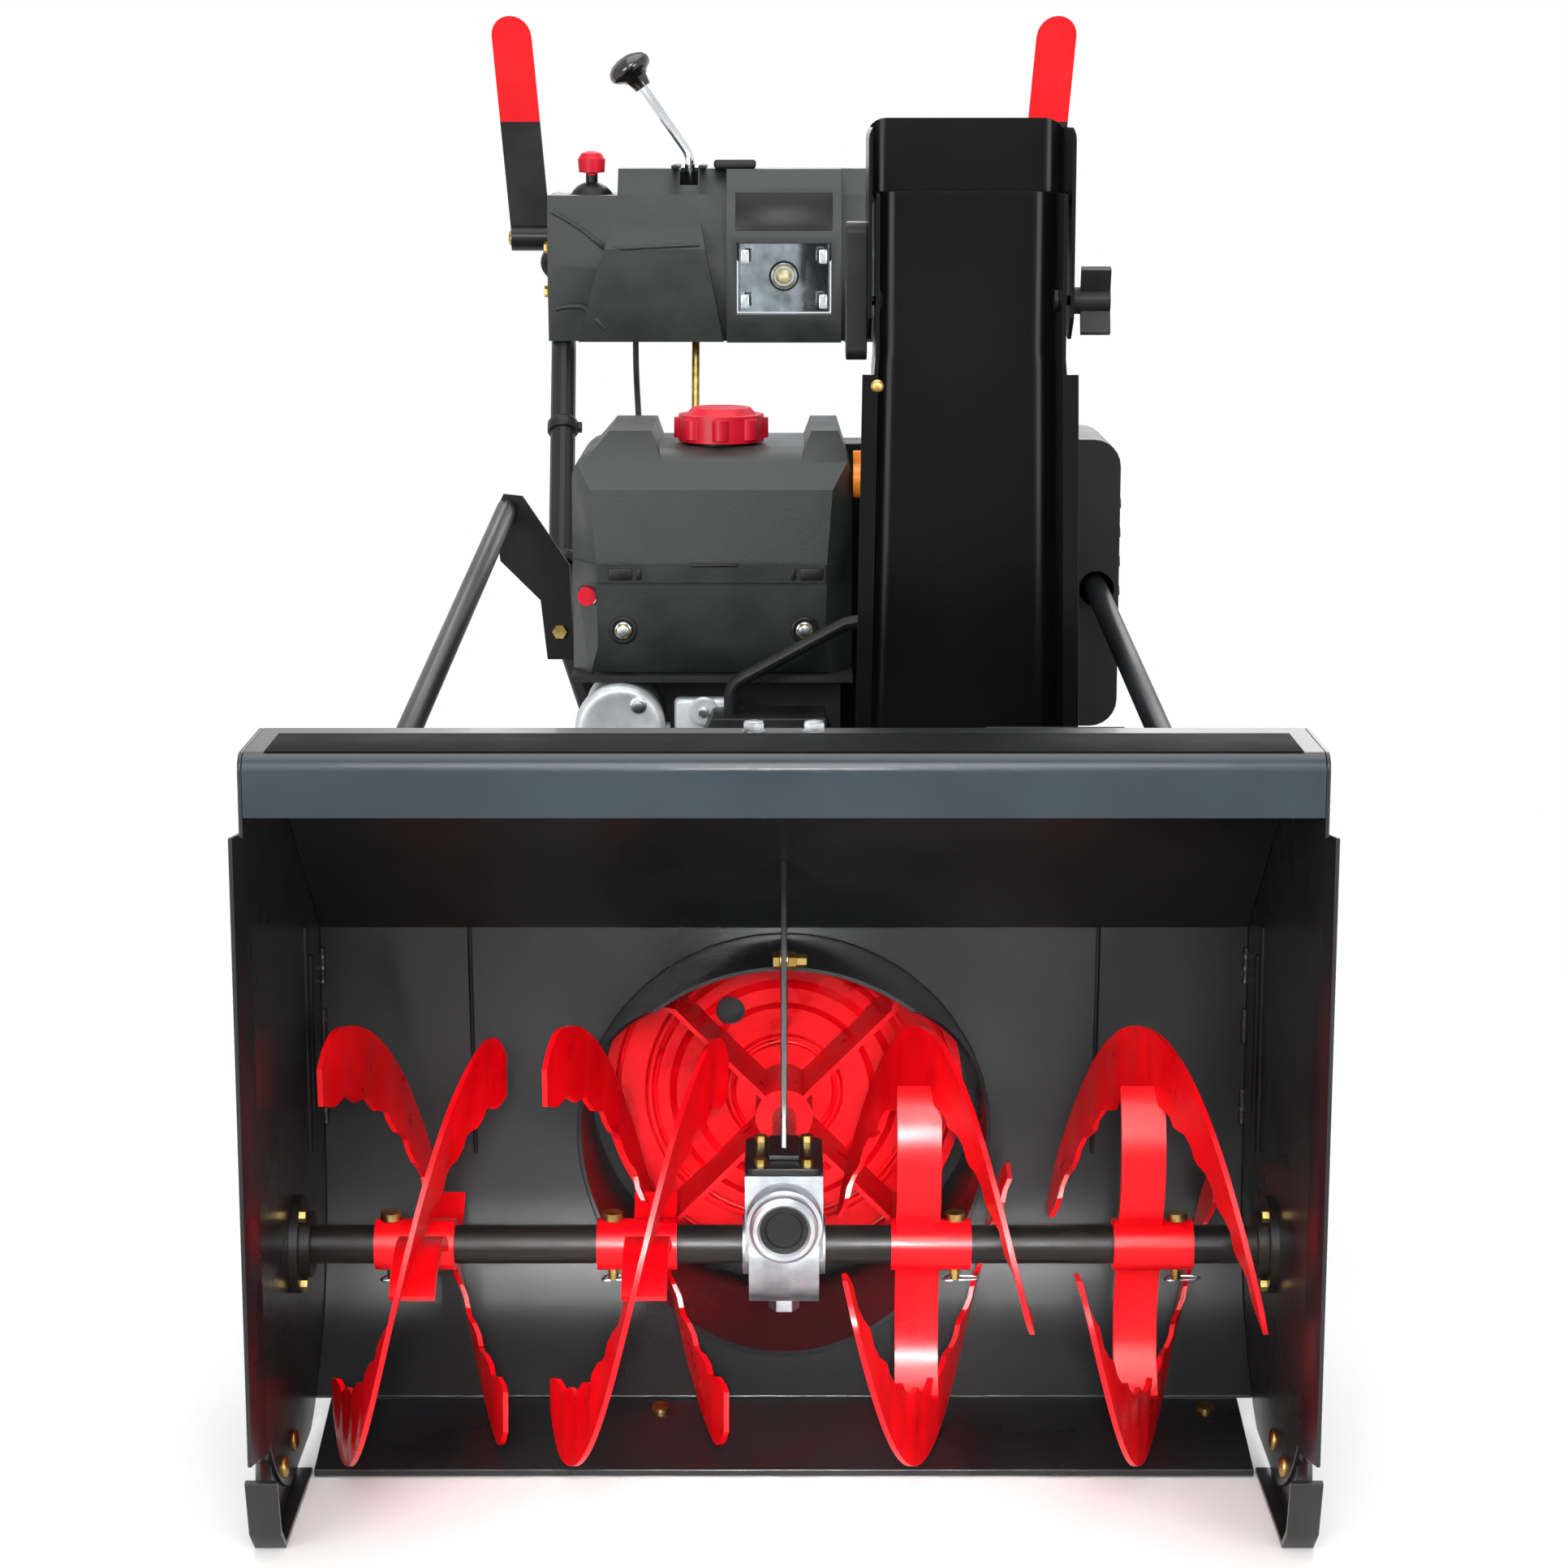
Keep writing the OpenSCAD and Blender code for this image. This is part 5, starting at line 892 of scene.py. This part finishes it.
class THROWER_OT_handles(bpy.types.Operator):
    """Add the handles' cable clamps, the shift rod and the ribs and collars of the hand grips."""

    bl_idname = "thrower.handles"
    bl_label = "Handle details"

    def execute(self, context):
        band = ((12.7, -6), (14.6, -6), (15.4, -4.6), (15.4, 4.6), (14.6, 6), (12.7, 6), (12.7, -6))
        lug, lug_l = ((-19, -4), (-14, -4), (-14, 4), (-19, 4)), 9
        clamps = []
        for side in SIDES:
            along = Vector((side * 7, 207, 244)).normalized()
            for spot in (Vector((side * 219.5, 1048, 748)), Vector((side * 216, 945, 627))):
                clamps.append(aim(turned(band), along, spot))
                clamps.append(aim(slab(lug, lug_l, 1.2), along, spot - lug_l / 2 * along))
        piece("handle_clamps", clamps, "moulded_black_plastic")
        bends = ((1146, 890), (1110, 800), (1040, 620), (945, 380), (936, 332))
        rod = [(-89, y, z) for y, z in bends]
        piece("shift_rod", [wire(rod, 4)], "yellow_zinc_plate")
        rib = ((16.6, -3.2), (17.9, -2.2), (18.3, 0), (17.9, 2.2), (16.6, 3.2), (16.6, -3.2))
        collar = ((16.6, -5), (20.6, -3.6), (21.4, 0), (20.6, 3.6), (16.6, 5), (16.6, -5))
        first, pitch, count, collar_at = 18, 9.2, 13, 144
        ribs = []
        for side in SIDES:
            along = Vector((side * 23.3, 318, 131)).normalized()
            tip = Vector((side * 245, 1423.4, 955))
            for step in range(count):
                ribs.append(aim(turned(rib, 28), along, tip - (first + pitch * step) * along))
            ribs.append(aim(turned(collar, 28), along, tip - collar_at * along))
        piece("grip_ribs", ribs, "soft_black_rubber")
        return {"FINISHED"}


class THROWER_OT_recoil_starter(bpy.types.Operator):
    """Add the ribs, hub, pull grip and bolts of the recoil starter, and the frame's rear bolts."""

    bl_idname = "thrower.recoil_starter"
    bl_label = "Recoil starter"

    def execute(self, context):
        spot = Vector((0, span("blower_housing")[1].y - 0.4, pivot("crank_spin").z))
        place = facing(BACK, spot)
        ribs = []
        for inner, outer in ((26, 33), (84, 90)):
            ring = ((inner, 0), (inner + 1, 3.4), (outer - 1, 3.4), (outer, 0), (inner, 0))
            ribs.append(carried(turned(ring, 48), place))
        spokes, spoke = 16, ((32, -2.4), (85, -3.6), (85, 3.6), (32, 2.4))
        for step in range(spokes):
            turn = Matrix.Rotation(step * 2 * math.pi / spokes, 4, "Z")
            ribs.append(carried(slab(spoke, 2.8, 0.9), place @ turn))
        hub = ((0, 0), (21, 0), (21, 3), (17, 5.4), (0, 6))
        ribs.append(carried(turned(hub), place))
        piece("recoil_ribs", ribs, "moulded_black_plastic")
        seat = landing("blower_housing", (-96, 1000, 600), FORWARD)
        neck = ((0, 0), (13, 0), (12, 5), (7, 8), (6, 12), (0, 12))
        bar = seat + Vector((-36, 8, -9)), seat + Vector((36, 25, 9))
        grip = [aim(turned(neck, 24), BACK, seat), block(*bar, 6.5, 4)]
        piece("pull_grip", grip, "soft_black_rubber")
        bolts, circle = [], 101
        for turn in (45, 135, 225, 315):
            away = Vector((math.cos(math.radians(turn)), 0, math.sin(math.radians(turn)))) * circle
            hit = landing("blower_housing", spot + away + Vector((0, 60, 0)), FORWARD)
            bolts.append(aim(hex_head(10, 4.6, 7.5), BACK, hit))
        for x in (-136, 136):
            for z in (112, 318):
                hit = landing("frame_box", (x, 1040, z), FORWARD)
                bolts.append(aim(hex_head(10, 5, 8), BACK, hit))
        piece("rear_bolts", bolts, "clear_zinc_plate")
        return {"FINISHED"}


class THROWER_OT_guards(bpy.types.Operator):
    """Press the louvres of the muffler guard and the rear panel of the frame."""

    bl_idname = "thrower.guards"
    bl_label = "Guard louvres"

    def execute(self, context):
        low, high = span("muffler_guard")
        middle = (low + high) / 2
        long = ((-48, -5), (48, -5), (42, 5), (-42, 5))
        short = ((-40, -5), (40, -5), (36, 5), (-36, 5))
        louvres = []
        for step in range(6):
            z = low.z + 66 + 26 * step
            for outline, direction, spot in ((long, (1, 0, 0), (high.x - 0.3, middle.y, z)),
                                             (short, BACK, (middle.x + 30, high.y - 0.3, z))):
                louvres.append(aim(slab(outline, 4, 1.6, 3), direction, spot))
        piece("guard_louvres", louvres, "baked_black_enamel")
        seat = facing(BACK, (0, span("frame_box")[1].y - 0.2, 215))
        panel = [carried(slab(oblong(256, 172), 2.4, 1), seat),
                 carried(slab(oblong(208, 124), 4.2, 1.8), seat)]
        piece("rear_panel", panel, "baked_black_enamel")
        return {"FINISHED"}


class THROWER_OT_stage(bpy.types.Operator):
    """Set the pale floor, the soft lamps, the white surround and the camera."""

    bl_idname = "thrower.stage"
    bl_label = "Set the stage"

    def execute(self, context):
        scene = context.scene
        scene.view_settings.view_transform = "Standard"
        self.floor(scene)
        self.surround(scene)
        # Name, place, target, size in metres, power in watts and spread in degrees
        lamps = (
            ("top_softbox", (0, -0.2, 3.4), (0, 0, 0.4), 3, 70, 180),
            ("left_softbox", (-2, -3.1, 1), (0, -0.4, 0.35), 1.5, 62, 180),
            ("right_softbox", (2.1, -3, 0.9), (0, -0.4, 0.35), 1.5, 52, 180),
            ("front_softbox", (0, -3.5, 2.5), (0, -0.6, 0.2), 1.5, 70, 180),
            ("drum_softbox", (0, -3.7, 1.2), (0, -0.3, 0.06), 0.35, 1.7, 14),
            ("rear_softbox", (0.4, 3, 2.2), (0, 0.2, 0.6), 2.2, 40, 180),
        )
        for name, spot, target, size, power, spread in lamps:
            lamp = bpy.data.lights.new(name, "AREA")
            lamp.shape, lamp.size, lamp.energy, lamp.spread = "SQUARE", size, power, math.radians(spread)
            holder = bpy.data.objects.new(name, lamp)
            holder.location = spot
            holder.rotation_euler = (Vector(target) - Vector(spot)).to_track_quat("-Z", "Y").to_euler()
            scene.collection.objects.link(holder)
        # The camera stands before the lip, at a height, and looks down by some degrees.
        away, height, dip = 2.362, 1.050, 11.0
        camera = bpy.data.cameras.new("front_camera")
        camera.lens, camera.sensor_width, camera.clip_end = sizes().lens, 36, 60
        holder = bpy.data.objects.new("front_camera", camera)
        holder.location = (0, CAD_BOX[0][1] - away, height)
        holder.rotation_euler = (math.radians(90 - dip), 0, 0)
        scene.collection.objects.link(holder)
        scene.camera = holder
        return {"FINISHED"}

    def floor(self, scene):
        shape = bmesh.new()
        bmesh.ops.create_grid(shape, x_segments=1, y_segments=1, size=4.0)
        bmesh.ops.translate(shape, verts=shape.verts, vec=(0.0, 0.0, CAD_BOX[0][2] - 0.2 * MM))
        mesh = bpy.data.meshes.new("studio_floor")
        shape.to_mesh(mesh)
        shape.free()
        floor = bpy.data.objects.new("studio_floor", mesh)
        scene.collection.objects.link(floor)
        material, tree, shader, place = new_material("white_paper_floor")
        cloud = add_node(tree, "ShaderNodeTexNoise", values={"Scale": 0.6}, links={"Vector": place})
        white = add_node(tree, "ShaderNodeMapRange", values={"To Min": 0.86, "To Max": 0.9},
                         links={"Value": cloud.outputs["Fac"]})
        dial(tree, shader, {"Roughness": 0.9, "Specular IOR Level": 0.1},
             {"Base Color": white.outputs["Result"]})
        # The paper runs out into the white surround, so that no horizon shows.
        away = add_node(tree, "ShaderNodeVectorMath", {"operation": "LENGTH"}, links={0: place})
        fade = add_node(tree, "ShaderNodeMapRange", {"interpolation_type": "SMOOTHSTEP"},
                        {"From Min": 0.75, "From Max": 1.6}, {"Value": away.outputs["Value"]})
        clear = add_node(tree, "ShaderNodeBsdfTransparent")
        blend = add_node(tree, "ShaderNodeMixShader", links={
            0: fade.outputs["Result"], 1: shader.outputs["BSDF"], 2: clear.outputs["BSDF"]})
        dial(tree, tree.nodes["Material Output"], links={"Surface": blend.outputs["Shader"]})
        floor.data.materials.append(material)

    def surround(self, scene):
        world = bpy.data.worlds.new("white_surround")
        scene.world = world
        world.use_nodes = True
        tree = world.node_tree
        path = add_node(tree, "ShaderNodeLightPath")
        seen = add_node(tree, "ShaderNodeMath", {"operation": "MAXIMUM"}, links={
            0: path.outputs["Is Camera Ray"], 1: path.outputs["Is Transmission Ray"]})
        shown = add_node(tree, "ShaderNodeMath", {"operation": "MAXIMUM"}, links={
            0: seen.outputs["Value"], 1: path.outputs["Is Glossy Ray"]})
        strength = add_node(tree, "ShaderNodeMapRange", values={"To Min": 0.45, "To Max": 1.0},
                            links={"Value": shown.outputs["Value"]})
        dial(tree, tree.nodes["Background"], {"Color": (1, 1, 1, 1)},
             {"Strength": strength.outputs["Result"]})


class THROWER_PT_dressing(bpy.types.Panel):
    """Lists the pieces in the sidebar."""

    bl_label = "Snow Thrower"
    bl_idname = "THROWER_PT_dressing"
    bl_space_type = "VIEW_3D"
    bl_region_type = "UI"
    bl_category = "Snow Thrower"

    def draw(self, context):
        column = self.layout.column()
        for operator in OPERATORS:
            column.operator(operator.bl_idname)
        for group in (context.scene.thrower_colours, context.scene.thrower_sizes):
            for name in group.__annotations__:
                column.prop(group, name)


OPERATORS = (
    THROWER_OT_finish_solids,
    THROWER_OT_soften_edges,
    THROWER_OT_headlight,
    THROWER_OT_console,
    THROWER_OT_engine_cover,
    THROWER_OT_gearbox,
    THROWER_OT_impeller_rings,
    THROWER_OT_shear_clips,
    THROWER_OT_housing,
    THROWER_OT_chute,
    THROWER_OT_wheels,
    THROWER_OT_handles,
    THROWER_OT_recoil_starter,
    THROWER_OT_guards,
    THROWER_OT_stage,
)
CLASSES = (SnowThrowerColours, SnowThrowerSizes, *OPERATORS, THROWER_PT_dressing)


def register():
    for cls in CLASSES:
        bpy.utils.register_class(cls)
    bpy.types.Scene.thrower_colours = bpy.props.PointerProperty(type=SnowThrowerColours)
    bpy.types.Scene.thrower_sizes = bpy.props.PointerProperty(type=SnowThrowerSizes)


def unregister():
    del bpy.types.Scene.thrower_sizes
    del bpy.types.Scene.thrower_colours
    for cls in reversed(CLASSES):
        bpy.utils.unregister_class(cls)


def main():
    register()
    for operator in OPERATORS:
        group, name = operator.bl_idname.split(".")
        getattr(getattr(bpy.ops, group), name)()


if __name__ == "__main__":
    main()
